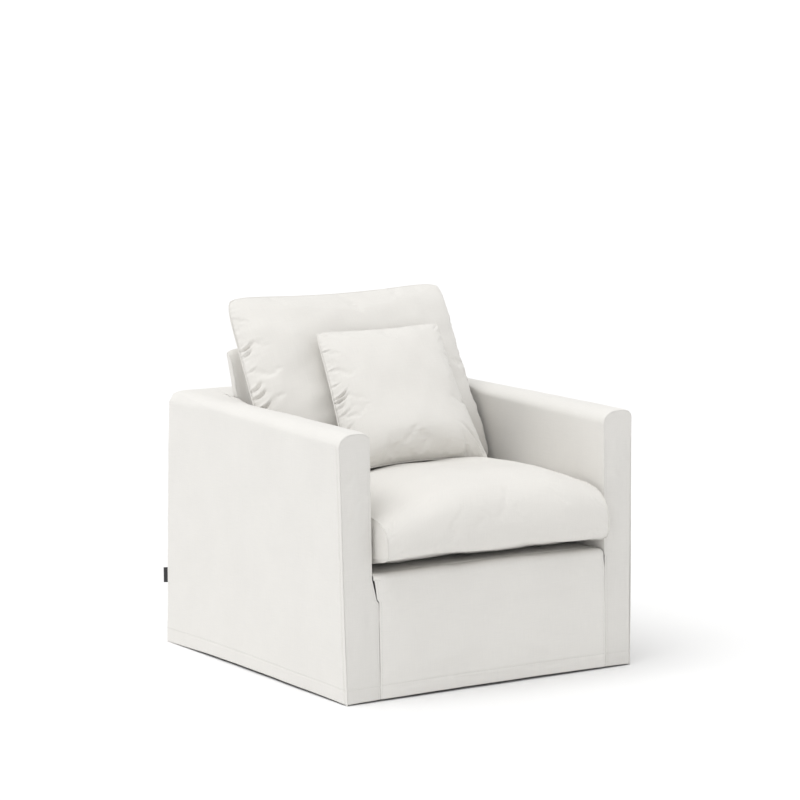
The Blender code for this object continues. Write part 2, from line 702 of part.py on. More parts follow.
# ---- the whole set ----------------------------------------------------------------------------
def main():
    clear_scene()
    cover = bpy.data.collections.new(COVER_NAME)
    bpy.context.scene.collection.children.link(cover)
    linen = make_finish("cover_linen", (0.82, 0.80, 0.765), 0.9)
    cushion_linen = make_finish("cushion_linen", (0.84, 0.82, 0.785), 0.9)
    tape = make_finish("tag_tape", (0.06, 0.06, 0.06), 0.8)

    cuts = [
        ("front_apron", APRON_COLUMNS, APRON_ROWS, apron_place, False),
        ("seat_deck", DECK_COLUMNS, DECK_ROWS, deck_place, False),
        ("outside_back", BACK_COLUMNS, BACK_ROWS, back_place, False),
        ("back_bridge", BRIDGE_COLUMNS, BRIDGE_ROWS, bridge_place, False),
        ("hood_wrap", HOOD_COLUMNS, HOOD_ROWS, hood_place, False),
    ]
    for side, word in ((-1, "left"), (1, "right")):
        cuts += [
            (f"arm_wrap_{word}", ARM_COLUMNS, ARM_ROWS, arm_cloth(side), side > 0),
            (f"arm_front_{word}", STRIP_COLUMNS, STRIP_ROWS, strip_cloth(side), side > 0),
            (f"hood_end_{word}", GUSSET_COLUMNS, GUSSET_ROWS, gusset_place(side), side < 0),
        ]
    for name, columns, rows, place, flip in cuts:
        sheet(name, linen, cover, columns, rows, place, flip)

    seat_cushion("seat_cushion", cushion_linen, cover)
    back_shape = (BACK_CUSHION, BACK_DRAW, BACK_CORNERS, BACK_PUCKERS)
    scatter_shape = (SCATTER, SCATTER_DRAW, SCATTER_CORNERS, SCATTER_PUCKERS)
    pillow("back_cushion", cushion_linen, cover, back_shape, (30, 28), back_cushion_room)
    pillow("scatter_cushion", cushion_linen, cover, scatter_shape, (22, 22))
    side_tag("side_tag", tape, cover)


main()
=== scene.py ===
"""Looks of a fitted armchair slipcover and its seat, back and scatter cushions.

Every cut of cloth is a surface worked out from two parameters and given the cloth's
thickness, with its seams, stitches, hems and soft creases in the mesh.  The cushions are
blown up as sewn cloth bags.  Metres, +Z up, the front towards -Y, left is -X.
"""

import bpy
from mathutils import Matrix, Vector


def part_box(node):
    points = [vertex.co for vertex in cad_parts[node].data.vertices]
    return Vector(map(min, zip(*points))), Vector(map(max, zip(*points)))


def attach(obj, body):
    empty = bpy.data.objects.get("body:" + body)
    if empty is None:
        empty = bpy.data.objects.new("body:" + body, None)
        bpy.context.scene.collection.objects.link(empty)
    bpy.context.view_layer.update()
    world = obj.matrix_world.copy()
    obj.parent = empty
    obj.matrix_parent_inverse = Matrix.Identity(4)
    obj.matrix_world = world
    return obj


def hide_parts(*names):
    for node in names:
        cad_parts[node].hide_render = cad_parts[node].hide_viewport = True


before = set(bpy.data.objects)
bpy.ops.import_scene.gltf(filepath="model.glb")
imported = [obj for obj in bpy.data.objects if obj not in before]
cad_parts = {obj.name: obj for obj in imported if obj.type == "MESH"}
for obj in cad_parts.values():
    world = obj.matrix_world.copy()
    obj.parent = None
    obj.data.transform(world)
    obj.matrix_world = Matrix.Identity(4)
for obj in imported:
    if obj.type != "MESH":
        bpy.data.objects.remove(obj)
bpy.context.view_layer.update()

import math
from collections import namedtuple

import bpy
import numpy as np
from bpy.props import FloatProperty, FloatVectorProperty, IntProperty, PointerProperty

UV_NAME = "cloth"
bl_info = {
    "name": "Armchair slipcover",
    "version": (1, 0, 0),
    "blender": (4, 5, 0),
    "location": "3D View > Sidebar > Slipcover",
    "description": "Dresses an armchair slipcover and its cushions in sewn linen",
    "category": "Mesh",
}

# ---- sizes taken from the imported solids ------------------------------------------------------
TAG_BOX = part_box("side_tag")

# ---- shape of the cover ----------------------------------------------------------------------
HALF_WIDTH = 0.430
FRONT = -0.447
REAR = 0.473
DEPTH = REAR - FRONT
ARM_TOP_FRONT = 0.662
ARM_TOP_REAR = 0.682
TUB_HALF = 0.343
CROWN_FRONT = 0.034
CROWN_REAR = 0.022
RAIL_TOP = 0.308
SEAM_GAP = 0.0004
SPLAY = 0.006
FRONT_LEAN = 0.005
REAR_LEAN = 0.007
HEM_LIFT = 0.006
LINER_FOOT = RAIL_TOP - 0.016
TURN_REAR = 0.0065
TURN_REACH_FRONT = 0.040
TURN_REACH_REAR = 0.006

# How far in from the outer and inner side each arm's front seam lies, and the powers of a
# squarer and of an elliptical shoulder.
FrontTurn = namedtuple("FrontTurn", "outer inner")
FRONT_TURNS = {-1: FrontTurn(0.0020, 0.0042), 1: FrontTurn(0.0030, 0.0020)}
SQUARE_ARM_SIDE = 3.4
ROUND = 2.0

# How far edges fall short of the line they meet, and sewn edges, in metres.
RIM_FALL = 0.0015
EDGE_FALL = 0.0018
SEAM_LINE = 0.006
SEWN_WIDTH = 0.0022
EDGE_STEP = 0.0022
EDGE_FADE = 0.004
STRIP_HEM_LIFT = 0.8 * HEM_LIFT
REAR_TURN_STEPS = (0.7, 0.45, 0.27, 0.14, 0.05, 0.0)

REAR_ROUND = 0.032
REAR_DROP = 0.020
BRIDGE_SAG = 0.006
SEAM_REAR_HALF = 0.292
HOOD_REAR_AT_ARM = 0.262
SQUARE_SPAN = (FRONT + 0.15, HOOD_REAR_AT_ARM - 0.05)
INNER_FALL_SPAN = (HOOD_REAR_AT_ARM - 0.16, HOOD_REAR_AT_ARM - 0.02)
BRIDGE_LEAD = 0.012

HOOD_LEAN = 0.33
HOOD_THICK = 0.077
HOOD_TOP = 0.802
HOOD_ROUND = 0.034
HOOD_HALF = TUB_HALF - 0.005
HOOD_DIP = 0.005
HOOD_SLACK = 0.058
HOOD_SLACK_WIDE = 0.042
HOOD_SLACK_RISE = (0.48, 0.66)
HOOD_SUNK = 0.004
HOOD_CORNER = 0.011
HOOD_FOOT = ARM_TOP_FRONT + (ARM_TOP_REAR - ARM_TOP_FRONT) * (HOOD_REAR_AT_ARM - FRONT) / DEPTH

APRON_ROLL = 0.014
APRON_TURN_BACK = 0.022
APRON_BULGE = 0.004
APRON_CORNER_RISE = 0.004
SLIT_LENGTH = 0.062
SLIT_OPEN = 0.0036
SLIT_MOUTH = 0.018
SLIT_STEP = 0.25
STRIP_FILL = 0.004
DECK_HOLLOW = 0.006
SEAM_HALVES = {-1: 0.328, 1: 0.345}
SIDES = {-1: "left", 1: "right"}
TAG_FOLD = 0.0008
TAG_THICK = 0.0007

# ---- soft unevenness: a rise over an oval, in the piece's own shares -------------------------
def table(kind, *rows):
    """Rows of numbers under the kind's names."""
    return tuple(kind(*row) for row in rows)


Swell = namedtuple("Swell", "across along wide long rise")
SIDE_SWELLS = table(
    Swell,
    (0.25, 0.3, 0.3, 0.3, 0.0035),
    (0.8, 0.7, 0.25, 0.35, 0.0025),
    (0.55, 0.1, 0.2, 0.22, -0.0015),
    (0.93, 0.45, 0.05, 0.4, 0.003),
)
APRON_SWELLS = table(
    Swell,
    (0.3, 0.45, 0.22, 0.3, 0.004),
    (0.72, 0.35, 0.2, 0.3, 0.003),
    (0.5, 0.75, 0.35, 0.1, -0.0025),
    (0.06, 0.85, 0.05, 0.1, 0.003),
)
BACK_SWELLS = table(
    Swell,
    (0.3, 0.5, 0.25, 0.35, 0.004),
    (0.7, 0.35, 0.25, 0.3, 0.0035),
)

# ---- creases: place on the piece in metres, direction in degrees from +across ----------------
Crease = namedtuple("Crease", "across along angle long wide rise bend")
SIDE_CREASES = table(
    Crease,
    (0.13, 0.33, 84, 0.15, 0.022, -0.0006, 0.02),
    (0.3, 0.18, 70, 0.12, 0.03, 0.0007, -0.03),
    (0.56, 0.42, 95, 0.16, 0.034, -0.0007, 0.02),
    (0.76, 0.25, 80, 0.14, 0.028, 0.0006, 0.02),
    (0.86, 0.48, 65, 0.09, 0.02, -0.0008, 0.02),
)
LINER_CREASES = table(
    Crease,
    (0.11, 0.9, 100, 0.07, 0.018, -0.0009, 0.02),
    (0.3, 0.86, 70, 0.06, 0.02, -0.0008, -0.02),
)
STRIP_CREASES = table(
    Crease,
    (0.026, 0.545, 48, 0.034, 0.0085, -0.0011, 0.01),
    (0.052, 0.5, 38, 0.03, 0.008, -0.001, -0.01),
    (0.03, 0.45, 55, 0.034, 0.009, -0.0008, 0.01),
    (0.06, 0.42, 60, 0.03, 0.008, 0.0008, 0.01),
    (0.04, 0.3, 66, 0.04, 0.011, -0.0007, 0.01),
    (0.05, 0.19, 80, 0.06, 0.013, 0.0007, 0.01),
)
APRON_CREASES = table(
    Crease,
    (0.12, 0.205, 12, 0.09, 0.016, -0.0011, 0.01),
    (0.33, 0.16, -8, 0.12, 0.02, -0.0009, -0.01),
    (0.52, 0.215, 6, 0.1, 0.016, -0.001, 0.01),
    (0.24, 0.095, 20, 0.08, 0.018, 0.001, 0.01),
    (0.45, 0.08, -16, 0.085, 0.018, 0.0009, 0.01),
    (0.1, 0.026, 3, 0.08, 0.008, -0.0009, 0.004),
    (0.3, 0.02, -3, 0.1, 0.008, -0.0008, 0.004),
    (0.52, 0.026, 2, 0.09, 0.008, -0.0009, 0.004),
    (0.03, 0.262, 40, 0.03, 0.008, -0.0012, 0.01),
    (0.011, 0.296, -20, 0.008, 0.0022, -0.0026, 0.0),
    (0.64, 0.262, 142, 0.032, 0.008, -0.001, 0.01),
)
BACK_CREASES = table(
    Crease,
    (0.22, 0.38, 80, 0.18, 0.035, -0.0012, 0.02),
    (0.48, 0.3, 98, 0.2, 0.04, -0.001, 0.02),
    (0.66, 0.44, 75, 0.15, 0.03, 0.001, -0.02),
)
HOOD_CREASES = table(
    Crease,
    (0.14, 0.52, 30, 0.06, 0.014, -0.0009, 0.01),
    (0.54, 0.52, 150, 0.06, 0.014, -0.0009, 0.01),
)

# ---- cushions --------------------------------------------------------------------------------
Cushion = namedtuple("Cushion", "half_wide half_high centre lean front_fill rear_fill power lower")
BACK_CUSHION = Cushion(0.339, 0.258, (-0.006, 0.168, 0.709), 27.4, 0.115, 0.040, 2.6, 2.6)
SCATTER = Cushion(0.187, 0.203, (0.004, -0.017, 0.684), 33.8, 0.068, 0.026, 2.4, 7.0)
LOWER_FILL = 0.13
LOWER_FILL_AT = -0.66
LOWER_FILL_WIDE = 0.32
CORNER_THIN = 0.45
EDGE_BLUNT = 0.58
PANEL_LEAST = 0.002
HOOD_CLEAR = 0.003
REAR_PUFF_ABOVE_HOOD = 0.024

CornerPull = namedtuple("CornerPull", "across up aside rise power")
BACK_CORNERS = table(
    CornerPull,
    (-1, 1, -0.004, 0.0, 1),
    (1, 1, -0.01, 0.01, 1),
    (-1, -1, 0.006, 0.0, 1),
    (1, -1, 0.002, 0.0, 1),
)
SCATTER_CORNERS = table(
    CornerPull,
    (-1, 1, -0.001, 0.0, 1),
    (1, 1, 0.0, 0.003, 1),
    (-1, -1, -0.042, -0.002, 1),
    (1, -1, 0.002, 0.002, 1),
    (-1, 1, -0.003, -0.003, 6),
    (1, -1, 0.011, -0.008, 6),
)
DrawIn = namedtuple("DrawIn", "top bottom left right round")
BACK_DRAW = DrawIn(0.065, 0.050, 0.004, 0.030, 0.016)
SCATTER_DRAW = DrawIn(0.045, 0.070, 0.030, 0.050, 0.006)

Pucker = namedtuple("Pucker", "across along angle long wide deep bend")
BACK_DENTS = table(
    Pucker,
    (0.0, 0.2, 0, 0.18, 0.14, 0.018, 0.0),
    (-0.7, -0.1, 60, 0.12, 0.05, 0.004, 0.0),
)
BACK_PUCKERS = table(
    Pucker,
    (-0.978, 0.39, 25, 0.015, 0.0034, 0.0085, 0.003),
    (-0.972, 0.335, 44, 0.013, 0.0032, 0.0075, 0.002),
    (-0.975, 0.15, 30, 0.009, 0.0032, 0.0035, 0.0),
    (-0.98, -0.045, 42, 0.012, 0.0034, 0.009, 0.002),
    (-0.976, -0.13, 24, 0.014, 0.0036, 0.009, 0.003),
    (-0.97, -0.26, 20, 0.018, 0.004, 0.008, 0.004),
    (-0.97, -0.4, 36, 0.014, 0.0036, 0.0065, 0.003),
    (-0.96, -0.6, 30, 0.018, 0.004, 0.0055, 0.004),
    (0.96, 0.5, 190, 0.014, 0.0036, 0.004, -0.002),
    (0.95, 0.18, 165, 0.018, 0.0038, 0.0055, -0.003),
    (0.945, -0.12, 150, 0.022, 0.004, 0.0065, -0.004),
    (0.94, -0.42, 150, 0.022, 0.004, 0.006, -0.004),
)
SCATTER_PUCKERS = table(
    Pucker,
    (-0.935, 0.02, 30, 0.014, 0.003, 0.008, 0.003),
    (-0.95, -0.04, 22, 0.015, 0.003, 0.009, 0.003),
    (-0.95, -0.12, 48, 0.011, 0.003, 0.0055, 0.002),
    (-0.94, -0.24, 30, 0.018, 0.0036, 0.0035, 0.003),
    (-0.94, -0.46, 34, 0.018, 0.004, 0.0035, 0.003),
    (-0.972, 0.18, 14, 0.008, 0.0028, 0.003, 0.0),
    (-0.972, 0.4, 10, 0.008, 0.0028, 0.0026, 0.0),
    (-0.968, 0.68, -8, 0.009, 0.0028, 0.0026, 0.0),
    (-0.905, 0.93, 318, 0.014, 0.0032, 0.0034, 0.001),
    (0.905, 0.915, 222, 0.018, 0.0034, 0.0034, -0.001),
    (0.955, 0.3, 188, 0.012, 0.0036, 0.0028, 0.0),
    (0.95, -0.25, 165, 0.016, 0.004, 0.0036, -0.002),
    (0.82, -0.78, 132, 0.036, 0.006, 0.0075, 0.004),
    (0.66, -0.9, 106, 0.026, 0.006, 0.0045, 0.003),
    (-0.5, -0.9, 78, 0.026, 0.007, 0.004, 0.003),
)

SEAT_HALF = 0.327
SEAT_FRONT = -0.499
SEAT_REAR = 0.046
SEAT_FOOT = RAIL_TOP + 0.004
SEAT_LEFT_TOP = 0.455
SEAT_RIGHT_TOP = 0.478
SEAT_LEFT_POWER = 2.4
SEAT_RIGHT_POWER = 3.4
SEAT_CROWN_TOP = 0.526
SEAT_LEFT_LIFT = 0.0300
SEAT_RIGHT_LIFT = 0.0185
SEAT_BOX = 3.6
SEAT_WAIST = 0.36
SEAT_REAR_FALL = 0.30
SEAT_FALL_START = 0.62
SEAT_LIFT_SPAN = (0.06, 0.36)
SEAT_REAR_BOW = 0.012
SEAT_FRONT_BOW = 0.010
SEAT_END_BULGE = 0.014
SEAT_SEAM_DIP = 0.0017
SEAT_SEAM_WIDE = 0.0033
SEAT_GRID = (80, 150, 7)
SEAT_CREASES = table(
    Crease,
    (0.01, 0.424, 42, 0.009, 0.0024, -0.0024, 0.0),
    (0.018, 0.414, 30, 0.011, 0.0024, -0.0022, 0.0),
    (0.026, 0.436, 58, 0.011, 0.003, -0.0016, 0.0),
    (0.034, 0.372, 28, 0.016, 0.005, -0.0016, 0.003),
    (0.04, 0.352, 12, 0.018, 0.006, -0.0014, 0.003),
    (0.62, 0.446, 128, 0.012, 0.0034, -0.0024, 0.0),
    (0.632, 0.424, 150, 0.011, 0.0034, -0.002, 0.0),
    (0.6, 0.46, 112, 0.016, 0.005, -0.0014, 0.0),
    (0.2, 0.33, 8, 0.06, 0.01, -0.0012, 0.004),
    (0.42, 0.338, -6, 0.07, 0.011, -0.0012, 0.004),
    (0.3, 0.4, 14, 0.11, 0.024, -0.0014, 0.01),
)


# ---- what a user would change ----------------------------------------------------------------
def a_number(label, about, value, least, most, **more):
    """A number that the panel shows."""
    return FloatProperty(name=label, description=about, default=value, min=least, max=most, **more)


def a_length(label, about, value, least, most):
    """A length that the panel shows."""
    return a_number(label, about, value, least, most, unit="LENGTH")


def a_colour(label, about, value):
    """A colour that the panel shows."""
    return FloatVectorProperty(
        name=label, description=about, default=value, min=0.0, max=1.0, size=3, subtype="COLOR")


class SlipcoverCloth(bpy.types.PropertyGroup):
    """Sizes of the sewn cloth."""

    thickness: a_length("Cloth thickness", "Thickness of the cover's cloth", 0.002, 0.0005, 0.004)
    mesh_step: a_length(
        "Mesh step", "Spacing of the cloth's grid away from seams", 0.0068, 0.004, 0.03)
    seam_step: a_length(
        "Seam step", "Spacing of the cloth's grid at seams and hems", 0.0013, 0.0008, 0.01)
    seam_dip: a_length("Seam dip", "How far a sewn edge sinks into its seam", 0.0014, 0.0, 0.005)
    ripple: a_length("Ripple", "Height of the cloth's faint unevenness", 0.00035, 0.0, 0.003)
    hem_band: a_length(
        "Hem band", "Height of the hem's stitch line above the edge", 0.033, 0.01, 0.06)
    corner_line: a_length(
        "Corner stitch distance", "From the arm's front seam back to its side stitching",
        0.0105, 0.003, 0.03)
    twin_line: a_length(
        "Twin stitch distance", "From the strip's inner seam to the stitching beside it",
        0.0065, 0.003, 0.02)
    stitch_pitch: a_length("Stitch pitch", "Length of one stitch with its gap", 0.0036, 0.002, 0.01)


class SlipcoverCushions(bpy.types.PropertyGroup):
    """How the cushions are filled and sewn."""

    pressure: a_number("Filling pressure", "Pressure that blows the sewn bags up", 4.0, 0.0, 20.0)
    slack: a_number(
        "Cloth to spare", "Share by which the panels outgrow their seams", 0.008, 0.0, 0.2)
    seat_slack: a_number(
        "Seat cloth to spare", "Share by which the seat's panels outgrow their seams",
        0.002, 0.0, 0.2)
    most_move: a_length("Largest move", "How far filling may move any point", 0.009, 0.0, 0.05)
    most_swell: a_length(
        "Largest swell", "How far filling may push a panel outwards", 0.004, 0.0, 0.05)
    seat_swell: a_length(
        "Largest seat swell", "How far filling may push the seat outwards", 0.0015, 0.0, 0.05)
    fill_frames: IntProperty(
        name="Filling frames", description="Frames for which the filling settles",
        default=20, min=1, max=60)
    lip: a_length("Seam lip", "How far the sewn edge stands out of a cushion", 0.0020, 0.0, 0.006)


class SlipcoverLook(bpy.types.PropertyGroup):
    """Colours and finish of the cloths."""

    cover_colour: a_colour("Cover linen", "Colour of the cover's linen", (0.736, 0.721, 0.690))
    cushion_colour: a_colour(
        "Cushion linen", "Colour of the cushions' linen", (0.718, 0.701, 0.667))
    # Painted shade: the arms' front strips use a darker copy of the cover's linen, scaled by this
    # share.
    strip_painted_shade: a_number(
        "Strip shade", "Colour of the arms' front strips as a share of the cover's", 0.94, 0.5, 1.5)
    thread_shade: a_number(
        "Thread shade", "Colour of the sewing thread as a share of the cover's", 0.80, 0.3, 1.5)
    tape_colour: a_colour("Tag tape", "Colour of the side tag", (0.020, 0.020, 0.022))
    thread_pitch: a_length(
        "Thread pitch", "Distance between the threads of the weave", 0.0008, 0.0003, 0.004)
    roughness: a_number("Roughness", "Roughness of the linen", 0.92, 0.0, 1.0)
    sheen: a_number("Sheen", "Weight of the linen's soft fibre sheen", 0.20, 0.0, 1.0)


class SlipcoverStage(bpy.types.PropertyGroup):
    """Floor, light and camera."""

    floor_half: a_length("Floor half size", "Half the side of the floor", 60.0, 1.0, 200.0)
    floor_colour: a_colour("Floor colour", "Colour of the plain floor", (0.86, 0.86, 0.86))
    sky: a_number("Sky strength", "Strength of the soft white light from above", 0.75, 0.0, 5.0)
    horizon: a_number(
        "Horizon strength", "Strength of the soft white light from all round", 1.18, 0.0, 5.0)
    key: a_number(
        "Key strength", "Strength of the broad soft light from the upper left", 1.53, 0.0, 20.0)
    key_spread: a_number(
        "Key spread", "Angle that the broad light fills, which softens its shadows",
        math.radians(50), 0.0, math.pi, subtype="ANGLE")
    lens: a_number("Lens", "Focal length of the camera", 127.35, 10.0, 400.0, unit="CAMERA")


# ---- numbers as whole arrays -----------------------------------------------------------------
def mix(low, high, share):
    """Straight blend from low to high."""
    return low + (high - low) * share


def smooth(low, high, value):
    """Soft step: 0 below low, 1 above high, 3t^2 - 2t^3 between."""
    share = np.clip((value - low) / (high - low), 0.0, 1.0)
    return share * share * (3 - 2 * share)


def bell(offset, width):
    """exp(-(offset/width)^2)."""
    return np.exp(-((offset / width) ** 2))


def arch(share):
    """Half a sine wave: 0 at both ends, 1 halfway."""
    return np.sin(math.pi * share)


def graded(length, coarse, fine, marks, reach):
    """Shares from 0 to 1 along a length.

    The spacing is coarse and closes to fine near each mark; the shares are where the
    running sum of one over the spacing passes whole steps.
    """
    place = np.linspace(0.0, length, 3001)
    near = np.min(np.abs(place[:, None] - np.asarray(marks)), axis=1)
    spacing = mix(fine, coarse, smooth(0.3 * reach, reach, near))
    density = 1 / spacing
    count = np.concatenate([[0.0], np.cumsum((density[1:] + density[:-1]) / 2 * np.diff(place))])
    steps = max(int(round(count[-1])), 2)
    return np.interp(np.linspace(0.0, count[-1], steps + 1), count, place) / length


def swelling(swells, across, along):
    """Sum of round rises: rise times a bell across and a bell along."""
    total = np.zeros(np.broadcast(across, along).shape)
    for s in swells:
        total = total + s.rise * bell(across - s.across, s.wide) * bell(along - s.along, s.long)
    return total


def by_line(line, across, along):
    """The way along a bowed line through the origin, and the distance off it: the line bows by
    its bend times the square of the way over its length."""
    turn = math.radians(line.angle)
    way = across * math.cos(turn) + along * math.sin(turn)
    off = along * math.cos(turn) - across * math.sin(turn)
    return way, off - line.bend * (way / line.long) ** 2


def creased(creases, across, along):
    """Sum of soft creases: a line with a bell along it, and across it a trough or ridge whose
    two shoulders lean the other way."""
    total = np.zeros(np.broadcast(across, along).shape)
    for c in creases:
        way, off = by_line(c, across - c.across, along - c.along)
        square = (off / c.wide) ** 2
        total = total + c.rise * bell(way, c.long) * (1 - 1.2 * square) * np.exp(-square)
    return total


def rippled(seed, across, along, height, longest=0.30, shortest=0.05, waves=14):
    """Faint unevenness: a sum of sine waves in fixed chance directions, the longer the higher."""
    chance = np.random.default_rng(seed)
    total = np.zeros(np.broadcast(across, along).shape)
    for share in np.linspace(0.0, 1.0, waves):
        wavelength = longest * (shortest / longest) ** share
        turn, phase = chance.uniform(0, 2 * math.pi, 2)
        total = total + (wavelength / longest) ** 0.8 * np.sin(
            2 * math.pi * (across * math.cos(turn) + along * math.sin(turn)) / wavelength + phase)
    return height * total / 1.8


def gathered(seed, along, distance, height, pitch, reach):
    """Small puckers at a seam: waves of uneven pitch along it that fade with distance from it."""
    chance = np.random.default_rng(seed)
    drift = sum(
        chance.uniform(0.4, 0.9) * np.sin(2 * math.pi * along / (pitch * k) + chance.uniform(0, 6))
        for k in (2.7, 4.3, 7.9))
    return height * np.sin(2 * math.pi * along / pitch + 2 * drift) * np.exp(-distance / reach)


def sewn_edge(distance, dip):
    """How far a sewn edge sinks: dip times a bell of the distance from the edge."""
    return -dip * bell(distance, SEWN_WIDTH)


def nearest(*distances):
    """The least of several distances at every point."""
    return np.minimum.reduce(np.broadcast_arrays(*distances))


def parted(*shares):
    """Part number and share of every line of a grid whose parts follow one another."""
    part = np.concatenate([np.full(share.shape, number) for number, share in enumerate(shares)])
    return part, np.concatenate(shares)


def stitch_groove(distance, deep=0.0006, width=0.0013):
    """Fine valley pulled in by a row of stitches, with a low swell on each side."""
    swell = 0.35 * bell(np.abs(distance) - 3 * width, 1.6 * width)
    return deep * (swell - bell(distance, width))


# ---- meshes from arrays ----------------------------------------------------------------------
LEAST_LENGTH = 1e-12
TINY = 1e-9


def unit(vectors):
    """Vectors brought to length one."""
    return vectors / np.maximum(np.linalg.norm(vectors, axis=-1, keepdims=True), LEAST_LENGTH)


def way_along(points, axis):
    """Running length of the grid's lines along one axis."""
    steps = np.linalg.norm(np.diff(points, axis=axis), axis=-1)
    start = np.zeros_like(np.take(steps, [0], axis=axis))
    return np.concatenate([start, np.cumsum(steps, axis=axis)], axis=axis)


def ways(points):
    """Distances over the cloth from its first and last column and its first and last row."""
    left, up = way_along(points, 1), way_along(points, 0)
    return left, left[:, -1:] - left, up, up[-1:] - up


def flat_uv(points):
    """The grid laid out flat, in metres."""
    return np.stack([way_along(points, 1), way_along(points, 0)], axis=-1)


def outward(points, flip=False, closed=False):
    """Unit normals of a grid: the way across it crossed with the way up its rows, which are
    loops in a closed grid."""
    if closed:
        across = np.roll(points, -1, axis=1) - np.roll(points, 1, axis=1)
    else:
        across = np.gradient(points, axis=1)
    normal = unit(np.cross(across, np.gradient(points, axis=0)))
    return -normal if flip else normal


def raised(points, height, flip=False, closed=False):
    """The grid moved out of its own surface by a height at each point."""
    return points + outward(points, flip, closed) * height[..., None]


def grid_faces(rows, columns, flip=False):
    """Quads of a grid of rows and columns, wound so that they face the way outward() does."""
    index = np.arange(rows * columns).reshape(rows, columns)
    quads = np.stack([index[:-1, :-1], index[:-1, 1:], index[1:, 1:], index[1:, :-1]], axis=-1)
    quads = quads.reshape(-1, 4)
    return quads[:, ::-1] if flip else quads


def tube_quads(index, closed=False):
    """Quads between loops of point numbers; a closed tube comes back to its first loop."""
    index = np.concatenate([index, index[:1]]) if closed else index
    ahead = np.roll(index, -1, axis=1)
    return np.stack([index[:-1], ahead[:-1], ahead[1:], index[1:]], axis=-1).reshape(-1, 4)


def mesh_object(name, points, faces, uv, finish):
    """An object at the origin from arrays of points, quads and a metre-true UV for each point."""
    mesh = bpy.data.meshes.new(name)
    points = np.ascontiguousarray(points.reshape(-1, 3), dtype=np.float32)
    mesh.vertices.add(len(points))
    mesh.vertices.foreach_set("co", points.ravel())
    mesh.loops.add(faces.size)
    mesh.loops.foreach_set("vertex_index", np.ascontiguousarray(faces, dtype=np.int32).ravel())
    mesh.polygons.add(len(faces))
    mesh.polygons.foreach_set("loop_start", np.arange(0, faces.size, 4, dtype=np.int32))
    mesh.update(calc_edges=True)
    layer = mesh.uv_layers.new(name=UV_NAME)
    uv = np.ascontiguousarray(uv.reshape(-1, 2), dtype=np.float32)
    layer.uv.foreach_set("vector", uv[faces.ravel()].ravel())
    mesh.polygons.foreach_set("use_smooth", np.ones(len(faces), dtype=bool))
    mesh.materials.append(finish)
    thing = bpy.data.objects.new(name, mesh)
    bpy.context.scene.collection.objects.link(thing)
    return thing


def thicken(thing, thickness, offset):
    """Give a sheet its thickness, behind its face or round its middle."""
    wall = thing.modifiers.new("thickness", "SOLIDIFY")
    wall.thickness, wall.offset = thickness, offset


def cloth_cut(name, points, height, finish, cloth, flip=False):
    """One cut of cloth, with its raised points and their normals: the grid raised by its
    relief, laid out flat for UV, and thickened behind its face."""
    shaped = raised(points, height, flip)
    thing = mesh_object(name, shaped, grid_faces(*height.shape, flip), flat_uv(points), finish)
    thicken(thing, cloth.thickness, -1.0)
    return thing, shaped, outward(points, flip)


def at_places(values, length, place):
    """Values along a line of points where its running length is each place."""
    return np.stack([np.interp(place, length, values[:, k]) for k in range(3)], axis=1)


# A stitch's sides, its length as a share of the pitch, its half thickness and its rise, and
# rings of (place along its half length, share of its thickness).
STITCH_SIDES = 5
STITCH_LONG = 0.62
STITCH_THICK = 0.00038
STITCH_LIFT = 0.00006
STITCH_RINGS = ((-1.0, 0.05), (-0.78, 0.75), (0.0, 1.0), (0.78, 0.75), (1.0, 0.05))


def stitch_mesh(rows, pitch):
    """Rows of short threads as capsules.

    Each row is a line of points with a normal at each; a thread lies along the line at every
    pitch, its rings following the profile of radius over length, and sits on the cloth.
    """
    at, way, up = [], [], []
    for path, normal in rows:
        length = way_along(path, 0)
        place = (np.arange(max(int(length[-1] / pitch), 1)) + 0.5) * pitch
        ahead, behind = (at_places(path, length, place + lead) for lead in (pitch / 3, -pitch / 3))
        at.append(at_places(path, length, place))
        way.append(ahead - behind)
        up.append(at_places(normal, length, place))
    at, way, up = (np.concatenate(part) for part in (at, way, up))
    way = unit(way)
    aside = unit(np.cross(way, up))
    turn = 2 * math.pi * np.arange(STITCH_SIDES) / STITCH_SIDES
    sizes = np.array([pitch * STITCH_LONG / 2, STITCH_THICK])
    along, thick = (sizes * STITCH_RINGS).T[..., None]
    steps = (along + 0 * turn, thick * np.cos(turn), thick * np.sin(turn) + STITCH_LIFT)
    lines = (way, aside, np.cross(aside, way))
    points = at[:, None, None] + sum(
        step[..., None] * line[:, None, None] for step, line in zip(steps, lines))
    index = np.arange(points[..., 0].size).reshape(points.shape[:3])
    faces = np.concatenate([tube_quads(rings) for rings in index])
    return points.reshape(-1, 3), faces[:, ::-1]


def stitches(name, rows, context, slot):
    """A dressed object of stitched threads, laid on the given rows."""
    points, faces = stitch_mesh(rows, context.scene.slipcover_cloth.stitch_pitch)
    threads = mesh_object(name, points, faces, points[:, :2], thread(context.scene.slipcover_look))
    dress(threads, slot)


def dress(piece, slot, *nodes):
    """A finished piece rides on the one body and may stand for solids; the slot is not used."""
    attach(piece, "root")
    if nodes:
        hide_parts(*nodes)


# ---- shared shape of the cover ---------------------------------------------------------------
def arm_top(y):
    """Height of the arm's ridge: a straight rise from front to rear."""
    return mix(ARM_TOP_FRONT, ARM_TOP_REAR, (y - FRONT) / DEPTH)


def crown(y):
    """Rise of the arm's rounded top over its sides."""
    return mix(CROWN_FRONT, CROWN_REAR, smooth(FRONT, REAR, y))


def outer_half(y, z):
    """Half width at the outer side: the arms splay at the front, the hem flares behind."""
    return HALF_WIDTH + SPLAY * (2 * z / ARM_TOP_REAR - 1) * (1 - 2 * (y - FRONT) / DEPTH)


def front_face(z):
    """Depth of the leaning front."""
    return FRONT + FRONT_LEAN * (2 * z / ARM_TOP_FRONT - 1)


